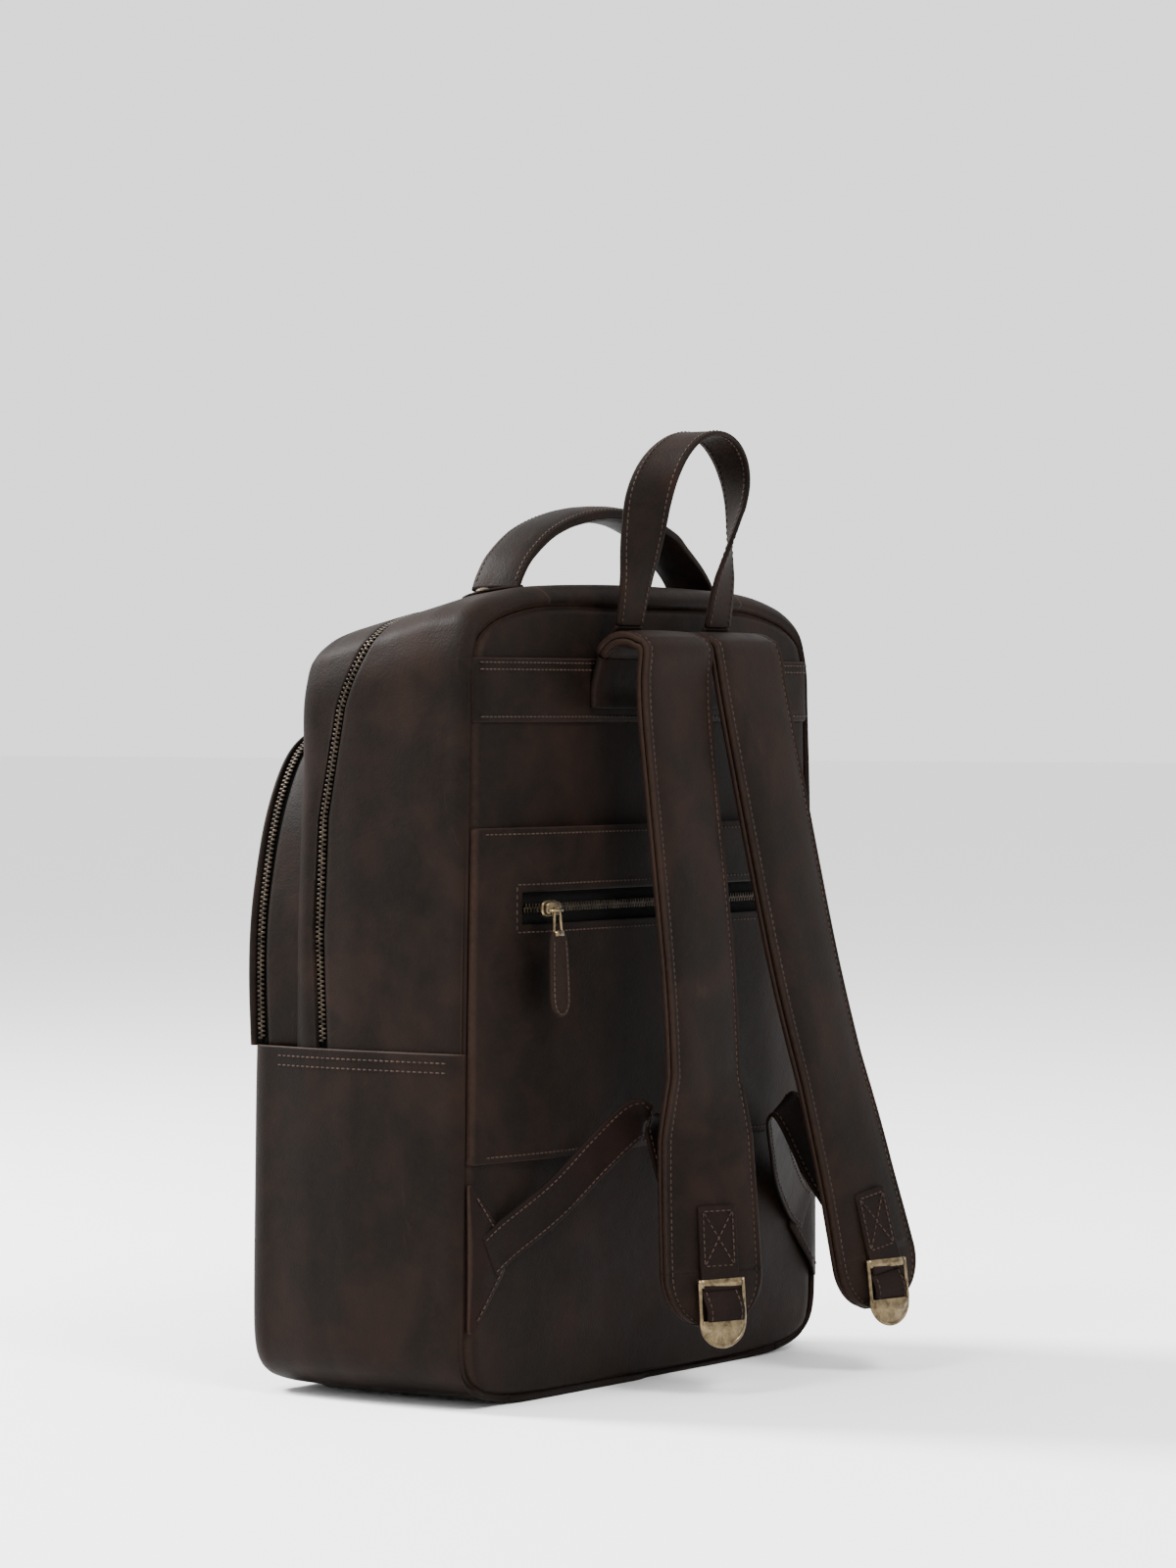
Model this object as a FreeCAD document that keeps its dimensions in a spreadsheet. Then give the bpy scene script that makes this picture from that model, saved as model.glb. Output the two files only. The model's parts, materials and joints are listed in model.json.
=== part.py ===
import FreeCAD, Part
import math
import os

import Sketcher
from FreeCAD import Placement, Rotation, Vector

# Backpack, millimetres, +Z up. The origin is the centre of the base, on the floor.
# +Y is the harness side, -Y the front pocket, +X the wearer's right.
SIZES = {
    "bag_width": 336, "bag_height": 431, "crown": 11, "back_face": 75, "main_front": -38,
    "pocket_front": -70, "pocket_height": 360, "pocket_arch": 80, "base_corner": 30, "top_corner": 16,
    "shoulder_place": 4, "side_bulge": 4, "edge_round": 10, "leather": 2.2, "lining": 0.8, "fit_gap": 0.3,
    "seam_height": 185, "base_half": 135, "base_rise": 16, "panel_leather": 2, "foam": 7, "divider_gap": 12,
    "divider": 5, "divider_height": 300, "board": 2.4, "zip_side": -20, "zip_top": 8, "zip_half": 3,
    "zip_tape": 1.2, "yoke_drop": 28, "yoke_width": 34, "yoke_thick": 1.8, "sleeve_lift": 10,
    "sleeve_drop": 55, "sleeve_gap": 5.6, "backing": 0.8, "pocket_gap": 4.8, "sleeve_leather": 2,
    "slot_drop": 34, "slot_height": 17, "slot_half": 131, "chain_width": 5.4, "tab_low": 41,
    "tab_high": 118, "tab_reach": 30, "tab_thick": 3, "handle_half": 98, "handle_rise": 45,
    "handle_width": 30, "handle_thick": 9, "handle_place": 40, "core": 5, "handle_skin": 1.6,
    "rivet": 4.5, "rivet_place": 9, "loop_width": 25, "loop_thick": 2.4, "loop_half": 44,
    "loop_rise": 95, "loop_lean": 18, "loop_drop": 9, "strap_width": 65, "strap_skin": 1.5,
    "strap_foam": 5, "strap_edge": 4, "curl_radius": 17, "curl_drop": 34, "curl_place": 100, "strap_low": 38,
    "tag_width": 25, "tag_low": 60, "tag_high": 100, "tag_thick": 3.4, "buckle_width": 31,
    "buckle_height": 34, "buckle_bar": 1.7, "buckle_plate": 2.6, "running_gap": 0.3,
    "webbing_width": 25, "webbing_thick": 2.2, "webbing_inset": 24, "slider_length": 15, "slider_width": 9,
    "slider_thick": 4, "pull_length": 56, "pull_width": 18, "pull_thick": 3, "pull_pin": 1.1,
}

doc = FreeCAD.newDocument("Backpack")
sheet = doc.addObject("Spreadsheet::Sheet", "Sizes")
for row, (alias, number) in enumerate(SIZES.items(), start=1):
    sheet.set("A%d" % row, alias)
    sheet.set("B%d" % row, str(number))
    sheet.setAlias("B%d" % row, alias)
doc.recompute()

NODES = []
SIDES = {"right": 1, "left": -1}


class Size:
    """A length that is at once an expression on the sheet and its present number."""

    def __init__(self, text, number):
        self.text = text
        self.number = float(number)

    def join(self, sign, other, number):
        return Size("(%s %s %s)" % (self.text, sign, as_size(other).text), number)

    def __add__(self, other):
        return self.join("+", other, self.number + as_size(other).number)

    def __sub__(self, other):
        return self.join("-", other, self.number - as_size(other).number)

    def __mul__(self, other):
        return self.join("*", other, self.number * as_size(other).number)

    def __truediv__(self, other):
        return self.join("/", other, self.number / as_size(other).number)

    def __neg__(self):
        return Size("(0 - %s)" % self.text, -self.number)

    def __float__(self):
        return self.number


def as_size(value):
    return value if isinstance(value, Size) else Size("%.4f" % value, value)


def size(alias):
    return Size("Sizes.%s" % alias, sheet.get(alias))


def mm(alias):
    return float(sheet.get(alias))


# ---------------------------------------------------------------- shared builders


def keep(feature, label):
    """Name a finished sub-part and list it for writing."""
    feature.Label = label
    NODES.append(feature)
    return feature


def shape_node(label, shape):
    """A sub-part whose shape is a lofted, bent or sliced skin, which no sketch feature gives."""
    feature = doc.addObject("Part::Feature", label)
    feature.Shape = shape
    return keep(feature, label)


def origin_plane(body, role):
    return next(item for item in body.Origin.OriginFeatures if item.Role == role)


def bind(feature, name, value):
    feature.setExpression(name, as_size(value).text)


def rounded_sketch(body, name, plane, offset, left, right, low, high, radius):
    """A rounded rectangle, dimensioned from the body's origin."""
    sketch = body.newObject("Sketcher::SketchObject", name)
    sketch.AttachmentSupport = (origin_plane(body, plane), "")
    sketch.MapMode = "FlatFace"
    bind(sketch, ".AttachmentOffset.Base.z", offset)
    x0, x1, y0, y1, r = (float(v) for v in (left, right, low, high, radius))
    corners = [(x1 - r, y0 + r, -90), (x1 - r, y1 - r, 0), (x0 + r, y1 - r, 90), (x0 + r, y0 + r, 180)]
    for cx, cy, start in corners:
        circle = Part.Circle(Vector(cx, cy, 0), Vector(0, 0, 1), r)
        sketch.addGeometry(Part.ArcOfCircle(circle, math.radians(start), math.radians(start + 90)), False)
    for k in range(4):
        here = sketch.Geometry[k].EndPoint
        there = sketch.Geometry[(k + 1) % 4].StartPoint
        sketch.addGeometry(Part.LineSegment(here, there), False)
    for k in range(4):
        sketch.addConstraint(Sketcher.Constraint("Tangent", k, 2, 4 + k, 1))
        sketch.addConstraint(Sketcher.Constraint("Tangent", 4 + k, 2, (k + 1) % 4, 1))
    for k in range(4):
        sketch.addConstraint(Sketcher.Constraint("Vertical" if k % 2 == 0 else "Horizontal", 4 + k))
    for k in range(1, 4):
        sketch.addConstraint(Sketcher.Constraint("Equal", 0, k))
    dimensions = [
        ("radius", Sketcher.Constraint("Radius", 0, r), radius),
        ("right", Sketcher.Constraint("DistanceX", -1, 1, 4, 1, x1), right),
        ("high", Sketcher.Constraint("DistanceY", -1, 1, 5, 1, y1), high),
        ("left", Sketcher.Constraint("DistanceX", -1, 1, 6, 1, x0), left),
        ("low", Sketcher.Constraint("DistanceY", -1, 1, 7, 1, y0), low),
    ]
    for word, constraint, value in dimensions:
        sketch.renameConstraint(sketch.addConstraint(constraint), word)
        bind(sketch, "Constraints.%s" % word, value)
    return sketch


def plate(label, plane, offset, thick, outline, windows=()):
    """A padded rounded rectangle with rounded rectangular windows pocketed through it."""
    body = doc.addObject("PartDesign::Body", label)
    sketch = rounded_sketch(body, label + "_outline", plane, offset, *outline)
    pad = body.newObject("PartDesign::Pad", label + "_pad")
    pad.Profile = sketch
    bind(pad, "Length", thick)
    for number, window in enumerate(windows):
        hole = rounded_sketch(body, "%s_window%d" % (label, number), plane, offset, *window)
        pocket = body.newObject("PartDesign::Pocket", "%s_pocket%d" % (label, number))
        pocket.Profile = hole
        pocket.Reversed = True
        bind(pocket, "Length", thick)
    return keep(body, label)


def rounded_face(points, plane):
    """A closed outline of straight runs whose corners (u, v, radius) are tangent arcs."""
    place = {
        "XZ": lambda u, v: Vector(u, 0, v),
        "YZ": lambda u, v: Vector(0, u, v),
        "XY": lambda u, v: Vector(u, v, 0),
    }[plane]
    ends, arcs = [], []
    for k, (u, v, radius) in enumerate(points):
        here = place(u, v)
        before = place(*points[k - 1][:2]) - here
        after = place(*points[(k + 1) % len(points)][:2]) - here
        if radius <= 0:
            ends.append((here, here))
            arcs.append(None)
            continue
        before.normalize()
        after.normalize()
        half = before.getAngle(after) / 2
        start = here + before * (radius / math.tan(half))
        stop = here + after * (radius / math.tan(half))
        bisector = (before + after).normalize()
        middle = here + bisector * (radius / math.sin(half) - radius)
        ends.append((start, stop))
        arcs.append(Part.Arc(start, middle, stop).toShape())
    edges = []
    for k, arc in enumerate(arcs):
        if arc:
            edges.append(arc)
        start, stop = ends[k][1], ends[(k + 1) % len(points)][0]
        if start.distanceToPoint(stop) > 1e-6:
            edges.append(Part.makeLine(start, stop))
    return Part.Face(Part.Wire(Part.__sortEdges__(edges)))


def prism(points, plane, low, high):
    """An outline extruded between two positions along the axis normal to its plane."""
    axis = {"XZ": Vector(0, 1, 0), "YZ": Vector(1, 0, 0), "XY": Vector(0, 0, 1)}[plane]
    face = rounded_face(points, plane)
    face.translate(axis * low)
    return face.extrude(axis * (high - low))


def mirrored(right_half):
    """A closed outline from its right half, listed from the bottom up."""
    return right_half + [(-u, v, r) for u, v, r in reversed(right_half)]


def box(x0, x1, y0, y1, z0, z1):
    return Part.makeBox(x1 - x0, y1 - y0, z1 - z0, Vector(x0, y0, z0))


def ribbon(stations, width, thick, lift=0.0):
    """A band lofted through stations (point, width direction, outward normal), at a lift off them."""
    wires = []
    for point, across, outward in stations:
        side = Vector(across).normalize() * (width / 2)
        low = Vector(outward).normalize() * lift
        high = Vector(outward).normalize() * (lift + thick)
        corners = [point - side + low, point + side + low, point + side + high, point - side + high]
        wires.append(Part.makePolygon(corners + [corners[0]]))
    return Part.makeLoft(wires, True, True)


# ---------------------------------------------------------------- the hulls of the bag

FAR = 600.0
half = mm("bag_width") / 2
back = mm("back_face")
seam = mm("seam_height")
gap = mm("fit_gap")
back_height = size("bag_height") - size("crown")
yoke_high = back_height - size("yoke_drop")
yoke_low = yoke_high - size("yoke_width")
sleeve_high = yoke_low - size("sleeve_drop")
sleeve_low = size("tab_high") + size("sleeve_lift")
slot_high = sleeve_high - size("slot_drop")
slot_low = slot_high - size("slot_height")
curl_height = back_height.number - mm("curl_drop")
loop_base = back_height.number - mm("loop_drop")
loop_height = back_height.number + mm("loop_rise")


def face_outline(inset, top):
    """The bag seen from behind: round base corners, short round top corners on a crowned top."""
    corner = max(mm("base_corner") - inset, 1)
    return mirrored([
        (half + mm("side_bulge") - inset, inset, corner),
        (half + mm("side_bulge") - 4 - inset, top - 11 - inset, max(mm("top_corner") - inset / 2, 1)),
        (mm("handle_half") + mm("shoulder_place"), top - inset, 0),
    ])


def main_hull(inset):
    """The main compartment, with its rounded back edge, sloping top and round front shoulder."""
    front = mm("main_front")
    top = mm("bag_height")
    crest = mm("edge_round")
    side = half + mm("side_bulge") - inset
    outline = prism(face_outline(inset, top), "XZ", front - 20, back)
    profile = prism([
        (back - 2, inset, 0), (back, 2 + inset, 0), (back, back_height.number - inset, 0),
        (back - crest, top - inset, 8), (mm("handle_place") - 18, top - inset, 60),
        (front + 12 + inset, top - 20 - inset, 24), (front - 4 + inset, top - 85, 50),
        (front + inset, seam, 0), (front + inset, inset, 0),
    ], "YZ", -FAR, FAR)
    plan = prism(mirrored([
        (side - 26, front - 6 + inset, 0), (side - 2, front + 8 + inset, 14),
        (side, 20, 60), (side - mm("side_bulge"), back, 0),
    ]), "XY", -FAR, FAR)
    return outline.common(profile).common(plan)


def pocket_hull(inset):
    """The arched front pocket, full width at the base."""
    front = mm("pocket_front")
    width = half - 2 - inset
    outline = prism(mirrored([
        (width, inset, mm("base_corner") - inset),
        (width, mm("pocket_height") - inset, mm("pocket_arch") - inset),
    ]), "XZ", front + inset, mm("main_front") + 6)
    profile = prism([
        (front + inset, inset, 18), (front + inset, FAR, 0),
        (mm("main_front") + 6, FAR, 0), (mm("main_front") + 6, inset, 0),
    ], "YZ", -FAR, FAR)
    return outline.common(profile)


def zip_front_zone(shift):
    """Everything in front of the main zip's line, shifted back by a distance."""
    side = mm("zip_side") + shift
    over = mm("zip_top") + shift
    top = mm("bag_height")
    return prism([
        (-FAR, seam - 60, 0), (side, seam - 60, 0), (side, top - 96, 60), (over, top - 26, 30),
        (over, top + 60, 0), (-FAR, top + 60, 0),
    ], "YZ", -FAR, FAR)


leather = mm("leather")
main_outer = main_hull(0)
main_inner = main_hull(leather)
pocket_outer = pocket_hull(0)
pocket_inner = pocket_hull(leather)
behind = back - mm("panel_leather")


def lower_panels():
    """The panels below the seam band: base, sides and front, and the wall behind the pocket."""
    below = box(-FAR, FAR, -FAR, behind, -10, seam)
    shell = main_outer.fuse(pocket_outer).common(below)
    shell = shell.cut(main_inner.fuse(pocket_inner))
    split = mm("base_half")
    rise = mm("base_rise")
    shape_node("base_panel", shell.common(box(-split, split, -FAR, FAR, -FAR, rise)))
    shape_node("lower_front_panel", shell.common(box(-split, split, -FAR, 0, rise, FAR)))
    shape_node("lower_side_right", shell.common(box(split, FAR, -FAR, FAR, -FAR, FAR)))
    shape_node("lower_side_left", shell.common(box(-FAR, -split, -FAR, FAR, -FAR, FAR)))
    wall_low = leather + gap
    width = size("bag_width") / 2 - size("leather") - 6
    plate("pocket_wall", "XZ_Plane", -size("main_front") - size("lining"), size("lining") * 2,
          (-width, width, as_size(wall_low), size("seam_height") - size("fit_gap"),
           size("base_corner") - size("leather")))


def upper_shell():
    """The panels above the seam band: rear gussets and zip tape on the bag, the lid before it."""
    above = box(-FAR, FAR, -FAR, behind, seam, FAR)
    shell = main_outer.cut(main_inner).common(above)
    half_tape = mm("zip_half")
    rear = shell.cut(zip_front_zone(half_tape + gap))
    split = mm("handle_half")
    shape_node("gusset_right", rear.common(box(split, FAR, -FAR, FAR, 0, FAR)))
    shape_node("gusset_left", rear.common(box(-FAR, -split, -FAR, FAR, 0, FAR)))
    shape_node("gusset_top", rear.common(box(-split, split, -FAR, FAR, 0, FAR)))
    inset = (leather - mm("zip_tape")) / 2
    tape = main_hull(inset).cut(main_hull(inset + mm("zip_tape")))
    zip_band = tape.common(box(-FAR, FAR, -FAR, behind, seam + gap, FAR))
    middle = zip_front_zone(0)
    rear_tape = zip_band.common(zip_front_zone(half_tape + gap)).cut(zip_front_zone(gap / 2))
    shape_node("main_zip_rear", rear_tape)
    front_tape = zip_band.common(zip_front_zone(-gap / 2)).cut(zip_front_zone(-half_tape - gap))
    shape_node("main_zip_front", front_tape)
    lid_low = box(-FAR, FAR, -FAR, FAR, seam + gap, FAR)
    shape_node("lid_shell", shell.common(zip_front_zone(-half_tape - gap)).common(lid_low))


def pocket_panels():
    """The part of the pocket above the seam band: gusset and zip on the lid, front on its flap."""
    front = mm("pocket_front")
    thick = mm("leather")
    tape = 1.4
    above = seam + gap
    skin = pocket_outer.cut(pocket_inner).cut(main_outer)
    seat = front + thick + gap
    shape_node("pocket_gusset", skin.common(box(-FAR, FAR, seat + 2 * tape + gap, FAR, above, FAR)))
    thin = pocket_hull(0.5).cut(pocket_hull(0.5 + mm("zip_tape")))
    shape_node("pocket_zip_rear", thin.common(box(-FAR, FAR, seat + tape + gap, seat + 2 * tape + gap,
                                                  above, FAR)))
    shape_node("pocket_zip_front", thin.common(box(-FAR, FAR, seat, seat + tape, above, FAR)))
    panel = pocket_outer.common(box(-FAR, FAR, front, front + thick, above, FAR))
    shape_node("pocket_front_panel", panel)


def linings():
    """The cloth linings of the lower bag and of the lid, each a thin skin inside its leather."""
    outer = main_hull(leather + gap)
    inner = main_hull(leather + gap + mm("lining"))
    skin = outer.cut(inner)
    clear = behind - mm("foam") - gap
    shape_node("lower_lining", skin.common(box(-FAR, FAR, mm("main_front") + 5, clear, -10, seam - 1)))
    lid = skin.common(zip_front_zone(-mm("zip_half") - 1.5)).common(box(-FAR, FAR, -FAR, FAR, seam + 2, FAR))
    shape_node("lid_lining", lid)


def back_panel():
    """The leather back with its foam, lining, laptop divider and the stiffening base board."""
    outline = prism(face_outline(0, back_height.number), "XZ", behind, back)
    shape_node("back_panel_leather", outline.common(main_outer))
    inner = size("bag_width") / 2 - size("leather") - size("fit_gap") - 3
    low = size("leather") + size("fit_gap") * 2 + size("lining")
    top = back_height - 16
    face = size("back_face") - size("panel_leather")
    corner = size("base_corner")
    plate("back_foam", "XZ_Plane", -face, size("foam"), (-inner, inner, low, top, corner))
    lining_face = face - size("foam")
    plate("back_lining", "XZ_Plane", -lining_face, size("lining"), (-inner, inner, low, top, corner))
    divider_face = lining_face - size("lining") - size("divider_gap")
    width = inner - 3
    plate("laptop_divider", "XZ_Plane", -divider_face, size("divider"),
          (-width, width, low + size("board") + size("fit_gap"), size("divider_height"), corner))
    plate("base_board", "XY_Plane", low, size("board"),
          (-size("base_half"), size("base_half"), size("main_front") + 8, face - size("foam") - 2,
           as_size(12)))


def harness_side():
    """The yoke strip and the trolley sleeve with its zipped pocket, on the back panel."""
    face = size("back_face")
    width = size("bag_width") / 2 - 3
    plate("yoke_strip", "XZ_Plane", -(face + size("yoke_thick")), size("yoke_thick"),
          (-width, width, yoke_low, yoke_high, as_size(3)))
    low, high = sleeve_low.number, sleeve_high.number
    y_back = mm("back_face")
    inner = y_back + mm("sleeve_gap")
    edge = half - 2
    flat = edge - 18

    def arched(first, last, reach):
        """A sheet sewn down at its two sides that stands off the back panel in between."""
        outer = prism(mirrored([(reach, y_back, 0), (reach, y_back + 1.6, 0), (flat + 1, last, 4)]),
                      "XY", low, high)
        hollow = prism(mirrored([(reach - 5, y_back, 0), (flat, first, 4)]), "XY", low, high)
        return outer.cut(hollow)

    outer_face = inner + mm("backing") + mm("pocket_gap") + mm("sleeve_leather")
    panel = arched(outer_face - mm("sleeve_leather"), outer_face, edge)
    slot = mm("slot_half")
    window = box(-slot, slot, inner, outer_face + 5, slot_low.number, slot_high.number)
    shape_node("sleeve_panel", panel.cut(window))
    inner_edge = edge - 6
    inner_flat = flat - 2
    sheet_outer = prism(mirrored([(inner_edge, y_back, 0), (inner_flat, inner + mm("backing"), 3)]),
                        "XY", low, high)
    sheet_hollow = prism(mirrored([(inner_edge - 2, y_back, 0), (inner_flat - 1, inner, 3)]),
                         "XY", low, high)
    shape_node("sleeve_backing", sheet_outer.cut(sheet_hollow))
    tape_face = face + size("sleeve_gap") + size("backing") + size("pocket_gap") + size("sleeve_leather")
    middle = (slot_low + slot_high) / 2
    chain = size("chain_width") / 2
    slot_half = size("slot_half")
    plate("back_zip_tape", "XZ_Plane", -(tape_face - 0.4), size("zip_tape"),
          (-slot_half, slot_half, slot_low, slot_high, as_size(0.5)),
          [(-(slot_half - 3), slot_half - 3, middle - chain, middle + chain, as_size(0.5))])
    plate("back_zip_chain", "XZ_Plane", -(tape_face - 0.2), size("zip_tape") + 0.4,
          (-(slot_half - 3), slot_half - 3, middle - chain, middle + chain, as_size(0.5)))


# ---------------------------------------------------------------- harness: tabs, webbing, straps


STRAPS = {
    # distance from the middle, place behind the back panel, share of the height from the strap's end
    # to its curl, and twist of each station
    "right": [(33, 18, 0.9224, 14), (38, 36, 0.5287, 17), (41, 43, 0.2356, 19), (44, 49, 0, 20)],
    "left": [(37, 26, 0.9224, -3), (60, 43, 0.5287, -5), (80, 60, 0.2356, -9), (92, 74, 0, -13)],
}
WEBBINGS = {
    # the fold behind the strap and the end in the buckle: across, stand-off, height
    "right": [(54, 26, 149), (45, 42, 66)],
    "left": [(80, 30, 146), (84, 60, 66)],
}


def strap_stations(side):
    """The strap's middle line: the curl over the yoke seam, then its fall to the rounded end."""
    sign = SIDES[side]
    face = mm("back_face")
    radius = mm("curl_radius")
    place = mm("curl_place")
    low = mm("strap_low")
    first = STRAPS[side][0]
    stations = []
    for angle in (148, 120, 90, 60, 32):
        turn = math.radians(angle)
        outward = Vector(0, math.cos(turn), math.sin(turn))
        point = Vector(sign * first[0], place, curl_height) + outward * radius
        stations.append((point, Vector(1, 0, 0), outward))
    for across, behind_face, share, twist in STRAPS[side]:
        turn = math.radians(sign * twist)
        outward = Vector(math.sin(turn), math.cos(turn), 0.08)
        height = low + share * (curl_height - low)
        point = Vector(sign * across, face + behind_face + 20, height)
        stations.append((point, Vector(math.cos(turn), -math.sin(turn), 0), outward))
    return stations


def layer(stations, width, thick, lift, end_trim=0.0):
    """One layer of the strap, its free end cut short by a trim."""
    band = ribbon(stations, width, thick, lift)
    last, across, outward = stations[-1]
    corner = width / 2 - 2
    down = Vector(across).cross(Vector(outward)).normalize()
    if down.z > 0:
        down = -down
    frame = Placement(last, Rotation(Vector(across), down, Vector(outward), "XYZ"))
    reach = mm("strap_width")
    tall = 400.0
    outline = rounded_face([
        (width / 2, -end_trim, corner), (width / 2, -tall, 0), (-width / 2, -tall, 0),
        (-width / 2, -end_trim, corner),
    ], "XY")
    keep_zone = outline.extrude(Vector(0, 0, 4 * reach))
    keep_zone.translate(Vector(0, 0, -2 * reach))
    keep_zone.Placement = frame.multiply(keep_zone.Placement)
    lower = box(-FAR, FAR, -FAR, FAR, 0, 110)
    return band.cut(lower).fuse(band.common(lower).common(keep_zone))


def end_frame(side, above):
    """A frame on the strap's outer face a given height above the floor: X across, Y down, Z outward."""
    upper, lower = strap_stations(side)[-2:]
    share = (above - lower[0].z) / (upper[0].z - lower[0].z)
    point = lower[0] + (upper[0] - lower[0]) * share
    along = (lower[0] - upper[0]).normalize()
    across = Vector(lower[1]).normalize()
    outward = across.cross(along).normalize()
    if outward.y < 0:
        outward = -outward
    face = mm("strap_foam") / 2 + mm("strap_skin") + 2 * gap
    return Placement(point + outward * face, Rotation(across, along, outward, "XYZ"))


def tag_and_bar(side):
    """The stitched end tag whose fold carries the buckle, and the frame of the buckle's bar."""
    fold = end_frame(side, mm("tag_low"))
    ring_inner = mm("buckle_bar") + mm("running_gap")
    ring = ring_inner + mm("tag_thick") / 2
    length = mm("tag_high") - mm("tag_low")
    width = mm("tag_width")
    strip = box(-width / 2, width / 2, -length, 0, gap, gap + mm("tag_thick"))
    ring_at = Vector(-width / 2, 0, gap + ring)
    ring_body = Part.makeCylinder(ring, width, ring_at, Vector(1, 0, 0))
    hole = Part.makeCylinder(ring_inner, width, ring_at, Vector(1, 0, 0))
    tag = strip.fuse(ring_body).cut(hole)
    tag.Placement = fold
    bar = fold.multiply(Placement(Vector(0, 0, gap + ring), Rotation()))
    return tag, bar


def shoulder_strap(side):
    """Sewn root, leather face, foam, inner backing and end tag of one strap."""
    stations = strap_stations(side)
    width = mm("strap_width")
    foam, skin = mm("strap_foam"), mm("strap_skin")
    sign = SIDES[side]
    shape_node("strap_face_" + side, layer(stations, width, skin, foam / 2 + gap))
    edge = mm("strap_edge")
    shape_node("strap_foam_" + side, layer(stations, width - 2 * edge, foam, -foam / 2, edge))
    shape_node("strap_backing_" + side, layer(stations, width, skin, -foam / 2 - gap - skin))
    over_yoke = mm("back_face") + mm("yoke_thick") + foam / 2 + gap
    middle = sign * STRAPS[side][0][0]
    root = [(Vector(middle, over_yoke, yoke_high.number - 24), Vector(1, 0, 0), Vector(0, -1, 0)),
            (Vector(middle, over_yoke + 0.4, yoke_high.number - 14), Vector(1, 0, 0), Vector(0, -1, 0.2))]
    for angle in (170, 151):
        turn = math.radians(angle)
        outward = Vector(0, math.cos(turn), math.sin(turn))
        centre = Vector(middle, mm("curl_place"), curl_height)
        root.append((centre + outward * mm("curl_radius"), Vector(1, 0, 0), outward))
    shape_node("strap_root_" + side, ribbon(root, width, foam, -foam / 2))
    tag, bar = tag_and_bar(side)
    shape_node("strap_tag_" + side, tag)
    return bar


def ladder_buckle(side, bar):
    """A ladder-lock buckle: round top bar, window for the webbing and a half-moon tongue."""
    width, tall = mm("buckle_width"), mm("buckle_height")
    thick = mm("buckle_plate")
    rod = mm("buckle_bar")
    inner = mm("tag_width") / 2 + 0.6
    frame_face = rounded_face([
        (width / 2, -rod, 1), (width / 2, tall, 9), (-width / 2, tall, 9), (-width / 2, -rod, 1),
    ], "XY").extrude(Vector(0, 0, thick))
    frame_face.translate(Vector(0, 0, -thick / 2))
    ring_room = rod + mm("running_gap") + mm("tag_thick") / 2 + 1.2
    windows = box(-inner, inner, -FAR, ring_room, -10, 10).fuse(
        box(-inner, inner, ring_room + 3, ring_room + 12, -10, 10))
    top_bar = Part.makeCylinder(rod, width, Vector(-width / 2, 0, 0), Vector(1, 0, 0))
    buckle = frame_face.cut(windows).fuse(top_bar).removeSplitter()
    buckle.Placement = bar
    shape_node("buckle_" + side, buckle)


def flat_run(start, end, width, thick):
    """A straight flat run of webbing between two points, its flat side towards the back panel."""
    along = end - start
    across = along.cross(Vector(0, 1, 0)).normalize()
    normal = across.cross(along).normalize()
    run = box(-width / 2, width / 2, -thick / 2, thick / 2, 0, along.Length)
    run.Placement = Placement(start, Rotation(across, normal, along, "ZYX"))
    return run


def lower_webbing(side):
    """The corner tab sewn into the side seam and the webbing that runs from it to the buckle."""
    sign = SIDES[side]
    face = mm("back_face")
    edge = half - 1
    middle = (mm("tab_low") + mm("tab_high")) / 2
    tab = prism([
        (sign * edge, mm("tab_low"), 0), (sign * edge, mm("tab_high"), 0),
        (sign * (edge - mm("tab_reach")), middle + 9, 3), (sign * (edge - mm("tab_reach")), middle - 9, 3),
    ], "XZ", face + gap / 3, face + mm("tab_thick"))
    shape_node("corner_tab_" + side, tab)
    tab_end = Vector(sign * (half - mm("webbing_inset")), face + mm("tab_thick") + 1.8, middle + 8.5)
    fold, buckle_end = [
        Vector(sign * across, face + stand_off, height) for across, stand_off, height in WEBBINGS[side]]
    rising = flat_run(tab_end, fold, mm("webbing_width"), mm("webbing_thick"))
    falling = flat_run(fold, buckle_end, mm("webbing_width"), mm("webbing_thick"))
    shape_node("webbing_" + side, rising.fuse(falling))


# ---------------------------------------------------------------- top: handle and hanging loop


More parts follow.
